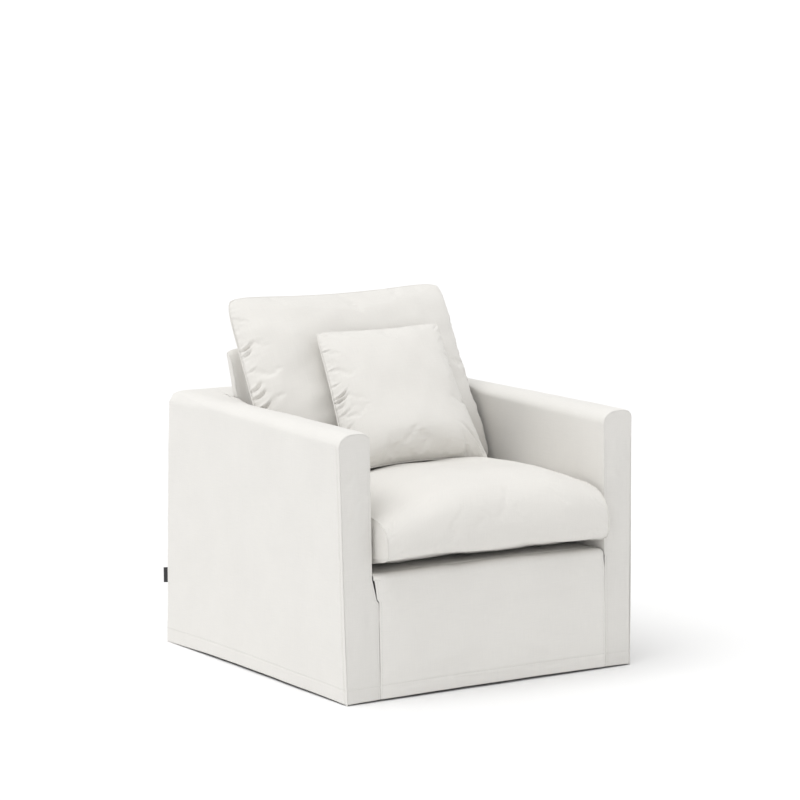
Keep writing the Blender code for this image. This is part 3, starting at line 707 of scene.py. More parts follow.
def rear_face(z):
    """Depth of the leaning rear."""
    return REAR - REAR_LEAN * (2 * z / ARM_TOP_REAR - 1)


def rounded(share, power):
    """Height of a superellipse over its share of the half width: (1 - share^p)^(1/p)."""
    return np.maximum(1 - np.clip(share, 0.0, 1.0) ** power, 0.0) ** (1 / power)


def quarter_drop(distance, reach, drop, power=ROUND):
    """Fall of a rounded edge: drop times one minus the superellipse of the reach that is left."""
    return drop * (1 - rounded((reach - distance) / reach, power))


def top_height(x, y, inner_power=ROUND, outer_power=ROUND):
    """Height of the cloth over the arms and the back's bridge."""
    half_arm = (HALF_WIDTH - TUB_HALF) / 2
    outer = outer_half(y, ARM_TOP_REAR) - np.abs(x)
    fall_out = quarter_drop(outer, half_arm, crown(y), outer_power)
    fall_in = quarter_drop(np.abs(x) - TUB_HALF, half_arm, crown(y), inner_power)
    fall_in = fall_in * (1 - smooth(*INNER_FALL_SPAN, y))
    fall_rear = quarter_drop(rear_face(ARM_TOP_REAR) - y, REAR_ROUND, REAR_DROP)
    return arm_top(y) - np.hypot(fall_out, fall_rear) - fall_in


def slit_edge(seam_half, side, z):
    """Where a strip's inner edge lies: at the seam below the slit, at the arm's corner above,
    with a short step at the slit's foot and a straight slant over it."""
    corner = TUB_HALF + FRONT_TURNS[side].inner
    foot = RAIL_TOP - SLIT_LENGTH
    step = SLIT_STEP * smooth(foot - 0.004, foot + 0.002, z)
    slant = np.clip(step + (1 - SLIT_STEP) * (z - foot) / SLIT_LENGTH, 0.0, 1.0)
    return mix(seam_half, corner, np.maximum(step, slant))


def hem_height(share):
    """The hem stands on the corners and lifts a little between them, soon after each."""
    return HEM_LIFT * np.maximum(arch(np.clip(share, 0, 1)), 0.0) ** 0.3


def hood_rear(z):
    """Depth of the hood's leaning rear."""
    return HOOD_REAR_AT_ARM + HOOD_LEAN * (z - HOOD_FOOT)


def hood_front(z):
    """Depth of the hood's leaning front."""
    return hood_rear(z) - HOOD_THICK


def turned_in(distance, reach, turn):
    """Inset of the rounded edge at a seam: a quarter ellipse over the reach."""
    return turn * (1 - rounded(1 - distance / reach, ROUND))


def arm_powers(side, y):
    """Squareness of the arm's inner and outer shoulder: the shoulder towards +X is squarer in
    front, and both are elliptical behind."""
    square = mix(SQUARE_ARM_SIDE, ROUND, smooth(*SQUARE_SPAN, y))
    return (square, ROUND) if side < 0 else (ROUND, square)


# ---- the arms' cloth -------------------------------------------------------------------------
LEG, OVER, LINER = 0, 1, 2


def arm_columns(cloth):
    """Part and share of every column over the arch: outer side, rounded top, inner side."""
    return parted(
        graded(0.63, cloth.mesh_step, cloth.seam_step * 1.6, [0.0, cloth.hem_band], 0.020),
        np.linspace(0.0, 1.0, 25)[1:],
        graded(0.37, cloth.mesh_step * 1.4, cloth.mesh_step, [0.0], 0.05)[1:])


def arm_section(side, part, share, y, outer_inset, inner_inset):
    """The arch at depth y, drawn in by an inset at each side.

    The outer side is a straight line from hem to rim with its swells, the top follows
    top_height along a cosine spacing, and the inner side drops straight to the deck.
    """
    outer = outer_half(y, ARM_TOP_REAR)
    depth = (y - FRONT) / DEPTH
    leg_z = mix(hem_height(depth), top_height(outer, y) - RIM_FALL, share)
    swell = swelling(SIDE_SWELLS, depth, leg_z / ARM_TOP_REAR) * (1 - smooth(0.80, 1.0, share))
    leg_x = outer_half(y, leg_z) + swell - outer_inset
    half = (outer - TUB_HALF) / 2
    inset = mix(outer_inset, inner_inset, share)
    over_x = mix(outer, TUB_HALF, (1 - np.cos(math.pi * share)) / 2)
    over_z = top_height(over_x, y, *arm_powers(side, y)) - inset * arch(share)
    over_x = over_x - inset * ((over_x - TUB_HALF) / half - 1)
    liner_z = mix(top_height(TUB_HALF + 0 * y, y), LINER_FOOT, share)
    x = np.choose(part, (leg_x, over_x, TUB_HALF + inner_inset))
    return side * x, np.choose(part, (leg_z, over_z, liner_z))


def arm_end(side, part, share, behind, inset):
    """Where the arm's cloth ends behind: the rear corner, the bridge's seam, the hood."""
    leg_x, leg_z = arm_section(side, np.full_like(part, LEG), share, REAR + 0 * share, 0.0, 0.0)
    leg = np.stack([leg_x - side * inset, rear_face(leg_z) - behind, leg_z + 0 * behind], axis=-1)
    rim = top_height(TUB_HALF, HOOD_REAR_AT_ARM)
    liner_z = mix(rim, LINER_FOOT, share) + 0 * behind
    liner = np.stack([side * TUB_HALF + 0 * liner_z, hood_rear(liner_z) - behind, liner_z], axis=-1)
    rear = rear_face(ARM_TOP_REAR)
    seam = SEAM_REAR_HALF + behind
    first, second = (np.clip(share * 2 - start, 0.0, 1.0) for start in (0, 1))
    ahead = share > 0.5
    over_x = np.where(
        ahead, mix(seam, TUB_HALF + behind, second),
        mix(outer_half(REAR, ARM_TOP_REAR) - inset, seam, first))
    over_y = np.where(ahead, mix(rear, HOOD_REAR_AT_ARM, second), rear - behind)
    over = np.stack([side * over_x, over_y, top_height(over_x, over_y)], axis=-1)
    return np.choose(part[..., None], (leg, over, liner))


def arm_surface(side, cloth):
    """Grid of the arm's cloth, front seam to rear seam by hem to deck.

    Rows in front of the hood blend from the leaning front to the last plain section; rows
    behind it blend from that section to the rear end; both ends turn in to their seams.
    """
    part, share = arm_columns(cloth)
    span = graded(0.69, cloth.mesh_step, cloth.seam_step, [0.0, 0.006], 0.030)[:, None]
    end_z = np.where(part == LINER, mix(HOOD_FOOT, LINER_FOOT, share), HOOD_FOOT)
    end_y = hood_rear(end_z) - BRIDGE_LEAD
    z = arm_section(side, part, share, mix(FRONT, end_y, span), 0.0, 0.0)[1]
    y = mix(front_face(z), end_y, span)
    insets = [turned_in(y - front_face(z), TURN_REACH_FRONT, turn) for turn in FRONT_TURNS[side]]
    x, z = arm_section(side, part, share, y, *insets)
    front = np.stack([x, y, z], axis=-1)

    rows = graded(0.216, cloth.mesh_step, 0.002, [0.216], 0.02)[1:, None, None]
    rear = mix(front[-1], arm_end(side, part, share, TURN_REACH_REAR + 0 * share, 0.0), rows)
    rear[..., 2] = np.where(part == OVER, top_height(rear[..., 0], rear[..., 1]), rear[..., 2])

    behind = TURN_REACH_REAR * np.array(REAR_TURN_STEPS)[:, None]
    turn = arm_end(side, part, share, behind, turned_in(behind, TURN_REACH_REAR, TURN_REAR))
    return np.concatenate([front, rear, turn]), part


def arm_relief(side, points, part, cloth):
    """Height of creases, seam puckers, hem and stitch grooves over the arm's cloth."""
    up_arch, _, to_rear, to_seam = ways(points)
    leg = (part == LEG)[None, :] * np.ones(points.shape[:2])
    seed = 11 if side < 0 else 12
    height = rippled(seed, to_rear, up_arch, cloth.ripple) * smooth(0.0, 0.05, to_rear)
    height += creased(SIDE_CREASES, to_rear, up_arch) * leg
    height += creased(LINER_CREASES, to_rear, up_arch) * (1 - leg)
    height += gathered(seed + 2, up_arch, to_rear, 0.00035, 0.022, 0.014)
    hem = hem_height((points[..., 1] - FRONT) / DEPTH) + cloth.hem_band
    height += stitch_groove(points[..., 2] - hem) * leg
    height += stitch_groove(to_rear - cloth.corner_line, 0.0018, 0.0016) * leg
    height += gathered(seed + 4, up_arch, to_seam, 0.0003, 0.02, 0.010) * leg
    return height * (1 - bell(to_rear, 0.002))


# ---- arm front strips ------------------------------------------------------------------------
STRIP_LEVEL = 0.58
STRIP_STRAIGHT = 0.60


def strip_surface(side, cloth):
    """Grid of the strip: across it by cosine spacing, up it by level rows that fan into the arc."""
    across = (1 - np.cos(math.pi * np.linspace(0, 1, 25))) / 2
    marks = [0.0, cloth.hem_band, RAIL_TOP - SLIT_LENGTH]
    levels = graded(STRIP_LEVEL, 0.0050, EDGE_STEP, marks, 0.020)[:, None] * STRIP_LEVEL
    fan = np.linspace(0, 1, 20)[1:, None]
    turns = FRONT_TURNS[side]
    arc = CROWN_FRONT - (turns.outer + turns.inner + SEAM_GAP) / 2
    power = np.where(across > 0.5, *arm_powers(side, FRONT))
    crest = ARM_TOP_FRONT - CROWN_FRONT + arc * rounded(np.abs(2 * across - 1), power)
    z = np.concatenate([levels + 0 * across, mix(STRIP_LEVEL, crest, fan)])
    outer = outer_half(FRONT, z) - turns.outer - SEAM_GAP / 2
    inner = slit_edge(SEAM_HALVES[side], side, z) + SEAM_GAP / 2
    low = smooth(0.0, 0.10, z)
    fill = STRIP_FILL * arch(across) ** 2 * low
    fill = fill * (1 - smooth(STRIP_LEVEL - 0.02, STRIP_LEVEL + 0.07, z))
    x = mix(outer, inner, across)
    lift = hem_height((HALF_WIDTH + SPLAY - x) / (2 * HALF_WIDTH)) * (1 - low)
    return np.stack([side * x, front_face(z) - fill, z + lift], axis=-1)


def strip_relief(side, points, cloth):
    """Creases, twin stitch line, hem line and sunken edges of the strip."""
    from_outer, from_inner, _, from_top = ways(points)
    up = points[..., 2]
    edge = nearest(from_outer, from_inner, from_top)
    straight = 1 - smooth(STRIP_STRAIGHT, STRIP_STRAIGHT + 0.04, up)
    height = rippled(31 if side < 0 else 32, from_outer, up, cloth.ripple * 0.8, 0.12, 0.03)
    height += creased(STRIP_CREASES, from_outer, up)
    height += gathered(33, up, edge, 0.0004, 0.017, 0.010)
    height += stitch_groove(from_inner - cloth.twin_line, 0.0008) * (1 - smooth(0.56, 0.62, up))
    height += stitch_groove(up - cloth.hem_band - STRIP_HEM_LIFT)
    height *= smooth(0.0, EDGE_FADE, edge)
    height += sewn_edge(edge, cloth.seam_dip) * mix(0.35, 1.0, straight)
    return height + sewn_edge(from_outer, cloth.seam_dip * 0.6) * straight


# ---- apron over the front rail ---------------------------------------------------------------
# Parts of the apron and the hood; the part behind the roll follows them.
FACE, ROLL = 0, 1


def apron_surface(cloth):
    """Grid of the apron: up its face, round the quarter roll and back over the rail."""
    across = graded(0.68, 0.0062, cloth.seam_step * 1.4, [0.0, 0.004, 0.676, 0.68], 0.024)[None, :]
    face = graded(0.30, 0.0055, EDGE_STEP, [0.0, cloth.hem_band, 0.295], 0.020)
    parts = parted(face, np.linspace(0, 1, 12)[1:], np.linspace(0, 1, 4)[1:])
    part, share = (line[:, None] for line in parts)
    spring = RAIL_TOP - APRON_ROLL
    bulge = APRON_BULGE * arch(across)
    half = mix(*SEAM_HALVES.values(), across)
    face_z = mix(hem_height(0.5 + (across - 0.5) * half / HALF_WIDTH), spring, share)
    face_y = front_face(face_z) - swelling(APRON_SWELLS, across, share)
    turn = math.pi / 2 * share
    fade = swelling(APRON_SWELLS, across, 1.0 + 0 * share) * (1 - share)
    roll_z = spring + (APRON_ROLL + bulge) * np.sin(turn)
    roll_y = front_face(spring) + APRON_ROLL * (1 - np.cos(turn)) - fade
    back_y = front_face(spring) + APRON_ROLL + APRON_TURN_BACK * share + 0 * across
    z = np.choose(part, (face_z, roll_z, RAIL_TOP + bulge))
    y = np.choose(part, (face_y, roll_y, back_y))
    gap = SEAM_GAP / 2 + SLIT_OPEN * smooth(RAIL_TOP - SLIT_LENGTH, RAIL_TOP - SLIT_MOUTH, z)
    left, right = (
        np.where(part == FACE, slit_edge(seam, side, z), TUB_HALF + turned_in(
            y - front_face(z), TURN_REACH_FRONT, FRONT_TURNS[side].inner)) - gap
        for side, seam in SEAM_HALVES.items())
    z = z + APRON_CORNER_RISE * (1 - across) ** 9 * smooth(0.2, 0.3, z)
    return np.stack([mix(-left, right, across), y, z], axis=-1)


def apron_relief(points, cloth):
    """Cloudy creases, hem line, the stitch line beside each seam, and sunken edges."""
    from_left, from_right, up, _ = ways(points)
    edge = nearest(from_left, from_right)
    height = rippled(41, from_left, up, cloth.ripple * 1.8, 0.22, 0.045)
    height += creased(APRON_CREASES, from_left, up)
    height += gathered(43, up, edge, 0.0005, 0.024, 0.018)
    height += gathered(44, from_left, np.abs(up - cloth.hem_band), 0.0004, 0.045, 0.014)
    height += stitch_groove(up - cloth.hem_band, 0.0008, 0.0016)
    height += stitch_groove(edge - SEAM_LINE)
    height *= smooth(0.0, EDGE_FADE, edge)
    return height + sewn_edge(edge, cloth.seam_dip * 0.8) * (1 - smooth(0.24, 0.26, up))


# ---- deck, outside back, bridge, hood --------------------------------------------------------
def deck_surface(cloth):
    """Grid of the seat deck: a flat rectangle with a shallow sine hollow."""
    across = np.linspace(0, 1, 60)[None, :]
    along = np.linspace(0, 1, 42)[:, None]
    start = front_face(RAIL_TOP) + APRON_ROLL + APRON_TURN_BACK + SEAM_GAP
    finish = hood_front(RAIL_TOP) - SEAM_GAP
    half = TUB_HALF - SEAM_GAP
    hollow = DECK_HOLLOW * arch(across) * arch(along)
    z = RAIL_TOP + APRON_BULGE * arch(across) * (1 - along) - hollow
    flat = mix(-half, half, across), mix(start, finish, along)
    return np.stack(np.broadcast_arrays(*flat, z), axis=-1)


def no_relief(points, cloth):
    """No relief, for a piece that is hidden or left plain."""
    return np.zeros(points.shape[:2])


def back_surface(cloth):
    """Grid of the outside back: hem to rear edge, with two soft swells."""
    across = graded(0.85, 0.0085, cloth.seam_step * 1.5, [0.0, 0.85], 0.02)[None, :]
    along = graded(0.66, 0.0085, EDGE_STEP, [0.0, cloth.hem_band, 0.66], 0.020)[:, None]
    inset = TURN_REAR + 0.6 * SEAM_GAP
    half = outer_half(REAR, ARM_TOP_REAR) - inset
    edge = top_height(mix(half, -half, across), rear_face(ARM_TOP_REAR)) - EDGE_FALL
    z = mix(hem_height(across), edge, along)
    half = outer_half(REAR, z) - inset
    swell = swelling(BACK_SWELLS, across, along) * arch(along) * arch(across)
    return np.stack([mix(half, -half, across), rear_face(z) + swell, z], axis=-1)


def back_relief(points, cloth):
    """Long soft creases, hem line and sunken edges of the outside back."""
    from_left, from_right, up, from_top = ways(points)
    side = nearest(from_left, from_right)
    edge = nearest(side, from_top)
    height = rippled(51, from_left, up, cloth.ripple * 1.4)
    height += creased(BACK_CREASES, from_left, up)
    height += gathered(53, up, side, 0.0004, 0.022, 0.014)
    height += gathered(54, from_left, from_top, 0.0004, 0.024, 0.014)
    height += stitch_groove(up - cloth.hem_band)
    height += stitch_groove(edge - SEAM_LINE, 0.0005)
    height *= smooth(0.0, EDGE_FADE, edge)
    return height + sewn_edge(edge, cloth.seam_dip) * smooth(0.0, 0.003, up)


def bridge_surface(cloth):
    """Grid of the bridge: from the rear edge to the hood's foot, with a shallow sag."""
    across = graded(0.68, 0.0080, EDGE_STEP, [0.0, 0.68], 0.02)[None, :]
    along = graded(0.205, 0.0060, EDGE_STEP, [0.0, 0.205], 0.02)[:, None]
    y = mix(rear_face(ARM_TOP_REAR), HOOD_REAR_AT_ARM + SEAM_GAP, along)
    half = mix(SEAM_REAR_HALF, TUB_HALF, along) - 2 * SEAM_GAP
    x = mix(half, -half, across)
    sag = BRIDGE_SAG * arch(across) * arch(smooth(0.1, 1.0, along))
    return np.stack([x, y + 0 * x, top_height(x, y) - sag], axis=-1)


def bridge_relief(points, cloth):
    """Ripples and sunken edges of the bridge."""
    from_left, from_right, up, from_end = ways(points)
    side = nearest(from_left, from_right)
    edge = nearest(side, up, from_end)
    height = rippled(61, from_left, up, cloth.ripple * 1.5, 0.16, 0.04)
    height += gathered(62, up, side, 0.0005, 0.020, 0.015)
    height += stitch_groove(edge - SEAM_LINE, 0.0005)
    return height * smooth(0.0, EDGE_FADE, edge) + sewn_edge(edge, cloth.seam_dip)


def hood_inset(x, z):
    """How far the hood's front falls back beside the back cushion, where nothing fills it."""
    inner = HOOD_HALF - HOOD_SLACK_WIDE
    beside = smooth(inner - 0.020, inner + 0.010, np.abs(x))
    return HOOD_SLACK * beside * smooth(*HOOD_SLACK_RISE, z)


def hood_surface(cloth):
    """Grid of the hood: up its leaning front, over the half-ellipse top and down the rear; its
    front falls back at both ends."""
    across = graded(0.676, 0.0070, cloth.seam_step * 1.5, [0.0, 0.676], 0.02)[None, :]
    face = graded(0.46, 0.0090, 0.0060, [0.46], 0.08)
    parts = parted(face, np.linspace(0, 1, 33)[1:], np.linspace(0, 1, 15)[1:])
    part, share = (line[:, None] for line in parts)
    spring = HOOD_TOP - HOOD_ROUND
    face_z = mix(RAIL_TOP + SEAM_GAP, spring, share)
    turn = math.pi * share
    middle = (hood_front(spring) + hood_rear(spring)) / 2
    roll_z = spring + HOOD_ROUND * np.sin(turn)
    roll_y = middle - HOOD_THICK / 2 * np.cos(turn) + HOOD_LEAN * (roll_z - spring)
    back_z = mix(spring, HOOD_FOOT - EDGE_FALL, share)
    z = np.choose(part, (face_z, roll_z, back_z))
    y = np.choose(part, (hood_front(face_z), roll_y, hood_rear(back_z)))
    slump = HOOD_DIP * arch(across) + HOOD_CORNER * np.abs(2 * across - 1) ** 18
    dip = np.where(part == ROLL, slump * np.sin(turn), 0.0)
    depth = np.clip((y - hood_front(z)) / HOOD_THICK, 0.0, 1.0)
    x = mix(-HOOD_HALF, HOOD_HALF, across) + 0 * z
    return np.stack([x, y + hood_inset(x, z) * (1 - depth), z - dip], axis=-1)


def hood_relief(points, cloth):
    """Creases, stitch lines and sunken ends of the hood."""
    from_left, from_right, up, from_foot = ways(points)
    side = nearest(from_left, from_right)
    height = rippled(71, from_left, up, cloth.ripple * 1.4, 0.2, 0.04)
    height += creased(HOOD_CREASES, from_left, up)
    height += gathered(72, up, side, 0.0006, 0.020, 0.014)
    height += stitch_groove(side - SEAM_LINE)
    height *= smooth(0.0, EDGE_FADE, nearest(side, from_foot))
    return height + sewn_edge(side, cloth.seam_dip) + sewn_edge(from_foot, cloth.seam_dip * 0.6)


def gusset_surface(side, cloth):
    """Grid of the hood's end: its leaning outline filled from foot to rounded crest."""
    across = (1 - np.cos(math.pi * np.linspace(0, 1, 21)))[None, :] / 2
    along = graded(0.48, 0.0080, 0.0030, [0.48], 0.06)[:, None]
    spring = HOOD_TOP - HOOD_ROUND
    edge = cloth.thickness + 0.0006
    reach = HOOD_THICK / 2 - edge
    crest = spring + (HOOD_ROUND - edge - HOOD_CORNER) * rounded(np.abs(2 * across - 1), ROUND)
    z = mix(RAIL_TOP + 0.012, crest, along)
    y = (hood_front(z) + hood_rear(z)) / 2 + reach * (2 * across - 1)
    sunk = HOOD_SUNK * arch(across) * smooth(0.45, 0.65, z)
    x = side * (HOOD_HALF - sunk * (1 - smooth(0.90, 1.0, along)))
    return np.stack([x, y + hood_inset(HOOD_HALF, z) * (1 - across), z], axis=-1)


# ---- cushions --------------------------------------------------------------------------------
def pucker_depth(puckers, cushion, across, along):
    """Depth of the creases that run in from the sewn edge, bowed like the cover's creases."""
    depth = np.zeros(across.shape)
    for p in puckers:
        way, off = by_line(
            p, (across - p.across) * cushion.half_wide, (along - p.along) * cushion.half_high)
        depth += p.deep * bell(way, p.long) * bell(off, p.wide)
    return depth


X_WAY = np.array([1.0, 0.0, 0.0])


def cushion_frame(cushion):
    """Centre, up and out directions of a leaning cushion."""
    lean = math.radians(cushion.lean)
    up = np.array([0.0, math.sin(lean), math.cos(lean)])
    out = np.array([0.0, -math.cos(lean), math.sin(lean)])
    return np.array(cushion.centre), up, out


def fullness(cushion, across, along):
    """1 in the middle of the face, 0 along the sewn edge: the product of one minus a power of
    each way, raised to a blunt edge; where the filling sinks, the lower half is fuller."""
    wide = np.maximum(1 - np.abs(across) ** cushion.power, 0.0)
    power = np.where(along < 0, cushion.lower, cushion.power)
    high = np.maximum(1 - np.abs(along) ** power, 0.0)
    return (wide * high) ** EDGE_BLUNT * (1 - CORNER_THIN * np.abs(across * along) ** 6)


def outline(shape, across, along):
    """Place within the sewn edge: sides drawn in between rounded, pulled corners."""
    cushion, draw, corners = shape[:3]
    side = np.where(across > 0, draw.right, draw.left)
    end = np.where(along > 0, draw.top, draw.bottom)
    x = cushion.half_wide * across * (1 - side * (1 - along * along))
    y = cushion.half_high * along * (1 - end * (1 - across * across))
    rounding = draw.round * (across * along) ** 8
    for c in corners:
        near = ((1 + c.across * across) * (1 + c.up * along) / 4) ** c.power
        x = x + c.aside * near
        y = y + c.rise * near
    return x - np.sign(across) * rounding, y - np.sign(along) * rounding


def back_cushion_room(shape, across, along):
    """How far the back cushion's rear panel may fill before it presses on the hood."""
    centre, up, out = cushion_frame(shape[0])
    y = outline(shape, across, along)[1]
    place_y, place_z = (centre[k] + up[k] * y for k in (1, 2))
    slope = -out[1] + HOOD_LEAN * out[2]
    room = (hood_front(place_z) - HOOD_CLEAR - place_y) / slope
    over = smooth(HOOD_TOP - HOOD_ROUND, HOOD_TOP + HOOD_ROUND, place_z)
    return mix(room, REAR_PUFF_ABOVE_HOOD, over)


def panel_spacing(count):
    """Even steps from -1 to 1 that close up a little towards the sewn edges."""
    even = np.linspace(-1, 1, count)
    return mix(even, np.sin(math.pi / 2 * even), 0.55)


def pillow_panels(shape, counts, rear_room=None):
    """Points of the front and rear panels of a knife-edge cushion, and their edge masks."""
    cushion, dents = shape[0], shape[3]
    centre, up, out = cushion_frame(cushion)
    across, along = np.meshgrid(*(panel_spacing(count) for count in counts))
    edge = np.maximum(np.abs(across), np.abs(along)) > 1 - TINY
    full = fullness(cushion, across, along)
    x, y = outline(shape, across, along)
    dented = pucker_depth(dents, cushion, across, along) * np.minimum(1, 4 * full)
    sag = 1 + LOWER_FILL * bell(along - LOWER_FILL_AT, LOWER_FILL_WIDE)
    front = np.maximum(cushion.front_fill * full * sag - dented, PANEL_LEAST)
    rear = cushion.rear_fill * full * full
    if rear_room:
        rear = np.minimum(rear, rear_room(shape, across, along))
    flat = centre + x[..., None] * X_WAY + y[..., None] * up
    panels = [flat + np.where(edge, 0.0, depth)[..., None] * out for depth in (front, -rear)]
    return panels, edge, np.stack([across, along], axis=-1)


def sewn_bag(name, front, rear, uv, finish):
    """A closed bag of two panels that share their edge points."""
    rows, columns = front.shape[:2]
    size = rows * columns
    index = np.arange(size).reshape(rows, columns)
    inner = np.zeros((rows, columns), dtype=bool)
    inner[1:-1, 1:-1] = True
    rear_index = index.copy()
    rear_index[inner] = size + np.arange(inner.sum())
    points = np.concatenate([front.reshape(-1, 3), rear[inner]])
    uvs = np.concatenate([uv.reshape(-1, 2), uv[inner]])
    faces = np.concatenate([
        grid_faces(rows, columns), rear_index.reshape(-1)[grid_faces(rows, columns, flip=True)]])
    return mesh_object(name, points, faces, uvs, finish), inner


def doubled(grid, axis, closed=False):
    """A grid with a point added halfway between each two along an axis, on the cubic through
    four: nine sixteenths of the near pair less one sixteenth of the far pair."""
    grid = np.moveaxis(grid, axis, 0)
    if closed:
        before, after, last = np.roll(grid, 1, 0), np.roll(grid, -1, 0), np.roll(grid, -2, 0)
        halfway = (9 * (grid + after) - before - last) / 16
        result = np.stack([grid, halfway], axis=1).reshape(-1, *grid.shape[1:])
    else:
        padded = np.concatenate([2 * grid[:1] - grid[1:2], grid, 2 * grid[-1:] - grid[-2:-1]])
        halfway = (9 * (padded[1:-2] + padded[2:-1]) - padded[:-3] - padded[3:]) / 16
        result = np.empty((2 * len(grid) - 1, *grid.shape[1:]))
        result[::2], result[1::2] = grid, halfway
    return np.moveaxis(result, 0, axis)


def pillow_relief(shape, puckers, share, seed):
    """Fine relief of a pillow's panel: puckers with a low ridge above each, small gathers along
    the sewn edge and faint slackness."""
    cushion = shape[0]
    across, along = share[..., 0], share[..., 1]
    x, y = across * cushion.half_wide, along * cushion.half_high
    from_side, from_end = cushion.half_wide - np.abs(x), cushion.half_high - np.abs(y)
    height = -pucker_depth(puckers, cushion, across, along)
    height += 0.45 * pucker_depth(shifted(puckers, cushion), cushion, across, along)
    height += gathered(seed, y, from_side, 0.0007, 0.026, 0.014)
    height += gathered(seed + 1, x, from_end, 0.0005, 0.036, 0.014)
    height += rippled(seed + 2, x, y, 0.0012, 0.20, 0.06)
    return height * smooth(0.0, EDGE_FADE, nearest(from_side, from_end))


def shifted(puckers, cushion):
    """The puckers moved to where their low ridges stand."""
    moved = []
    for p in puckers:
        turn, away = math.radians(p.angle), 1.7 * p.wide
        moved.append(p._replace(
            across=p.across - away * math.sin(turn) / cushion.half_wide,
            along=p.along + away * math.cos(turn) / cushion.half_high))
    return moved


def seat_section(across, turn):
    """The seat cushion's loop at each place across it: a superellipse box with a waist, a crowned
    top, a falling rear edge and a lifted front foot."""
    side = np.abs(across)
    low_top = np.where(across > 0, SEAT_RIGHT_TOP, SEAT_LEFT_TOP)
    power = np.where(across > 0, SEAT_RIGHT_POWER, SEAT_LEFT_POWER)
    top = mix(SEAT_CROWN_TOP, low_top, side ** power)
    rear = SEAT_REAR - SEAT_REAR_BOW * side ** 4
    front = SEAT_FRONT + SEAT_FRONT_BOW * side ** 6
    reach, rise = (
        np.sign(wave) * np.abs(wave) ** (2 / SEAT_BOX) for wave in (np.cos(turn), np.sin(turn)))
    y = (front + rear) / 2 + (rear - front) / 2 * reach
    base = mix(SEAT_FOOT, top, SEAT_WAIST)
    z = base + np.where(rise > 0, top - base, base - SEAT_FOOT) * rise
    depth_share = (y - front) / (rear - front)
    fall = SEAT_REAR_FALL * smooth(SEAT_FALL_START, 1.0, depth_share)
    z = z - (top - base) * fall * np.maximum(rise, 0.0)
    lift = mix(SEAT_LEFT_LIFT, SEAT_RIGHT_LIFT, (1 + across) / 2)
    lift = lift * (1 - smooth(*SEAT_LIFT_SPAN, depth_share))
    return y, z + lift * np.maximum(-rise, 0.0)


def seat_ring_turns(count):
    """Angles round the seat's loop whose points lie evenly along it."""
    turn = np.linspace(0, 2 * math.pi, 4001)
    length = way_along(np.stack(seat_section(0 * turn, turn), axis=-1), 0)
    return np.interp(np.linspace(0, length[-1], count + 1)[:-1], length, turn)


def seat_points(stations, ring, caps):
    """Loops from side to side that shrink at each end, and the middle point of each end."""
    even = np.linspace(-1, 1, stations)
    across = mix(even, np.sin(math.pi / 2 * even), 0.5)[:, None]
    y, z = seat_section(across, seat_ring_turns(ring)[None, :])
    body = np.stack([SEAT_HALF * across + 0 * y, y, z], axis=-1)
    shrink = np.cos(math.pi / 2 * np.linspace(0, 1, caps + 1))[1:-1, None, None]
    loops, tips = [body], []
    for loop, side in ((body[0], -1), (body[-1], 1)):
        middle = (loop.max(axis=0) + loop.min(axis=0)) / 2
        bulge = side * SEAT_END_BULGE * X_WAY
        cap = middle + (loop - middle) * shrink + bulge * np.sqrt(1 - shrink ** 2)
        loops = [cap[::-1], *loops] if side < 0 else [*loops, cap]
        tips.append(middle + bulge)
    first = len(loops[0])
    return np.concatenate(loops), np.array(tips), [first, first + stations - 1]


def ringed_bag(name, loops, tips, uv, finish):
    """A closed bag of loops, with a fan of thin quads to a tip at each end."""
    ring = loops.shape[1]
    index = np.arange(loops[..., 0].size).reshape(loops.shape[:2])
    near, after, beyond = ((np.arange(0, ring, 2) + step) % ring for step in range(3))
    tip = np.full(len(near), index.size)
    faces = np.concatenate([
        tube_quads(index),
        np.stack([index[0, beyond], index[0, after], index[0, near], tip], axis=-1),
        np.stack([index[-1, near], index[-1, after], index[-1, beyond], tip + 1], axis=-1)])
    uvs = np.concatenate([uv.reshape(-1, 2), np.zeros((2, 2))])
    return mesh_object(name, np.concatenate([loops.reshape(-1, 3), tips]), faces, uvs, finish)


def seat_relief(loops, seams):
    """Fine relief of the seat cushion: the dip at its two D-shaped gusset seams, small gathers
    and creases beside them, and faint slackness over the top and front."""
    ring_way, _, across_way, _ = ways(loops)
    front = 1 - smooth(SEAT_FRONT + 0.03, SEAT_FRONT + 0.09, loops[..., 1])
    height = rippled(81, across_way, ring_way, 0.0013, 0.30, 0.07)
    height += front * creased(SEAT_CREASES, loops[..., 0] + SEAT_HALF, loops[..., 2])
    for seed, row in enumerate(seams, 82):
        away = across_way - across_way[row]
        height -= SEAT_SEAM_DIP * bell(away, SEAT_SEAM_WIDE)
        height += gathered(seed, ring_way, np.abs(away), 0.0005, 0.027, 0.016)
    return height


# How stiff and heavy the bags' cloth is while their filling settles.
BAG_CLOTH = {
    "use_pressure": True, "quality": 5, "mass": 0.3, "tension_stiffness": 20,
    "compression_stiffness": 20, "shear_stiffness": 8, "bending_stiffness": 0.6, "air_damping": 3,
}


def vertex_values(thing, name):
    """An array of one vector for each of the object's vertices."""
    values = np.empty(len(thing.data.vertices) * 3)
    thing.data.vertices.foreach_get(name, values)
    return values.reshape(-1, 3)


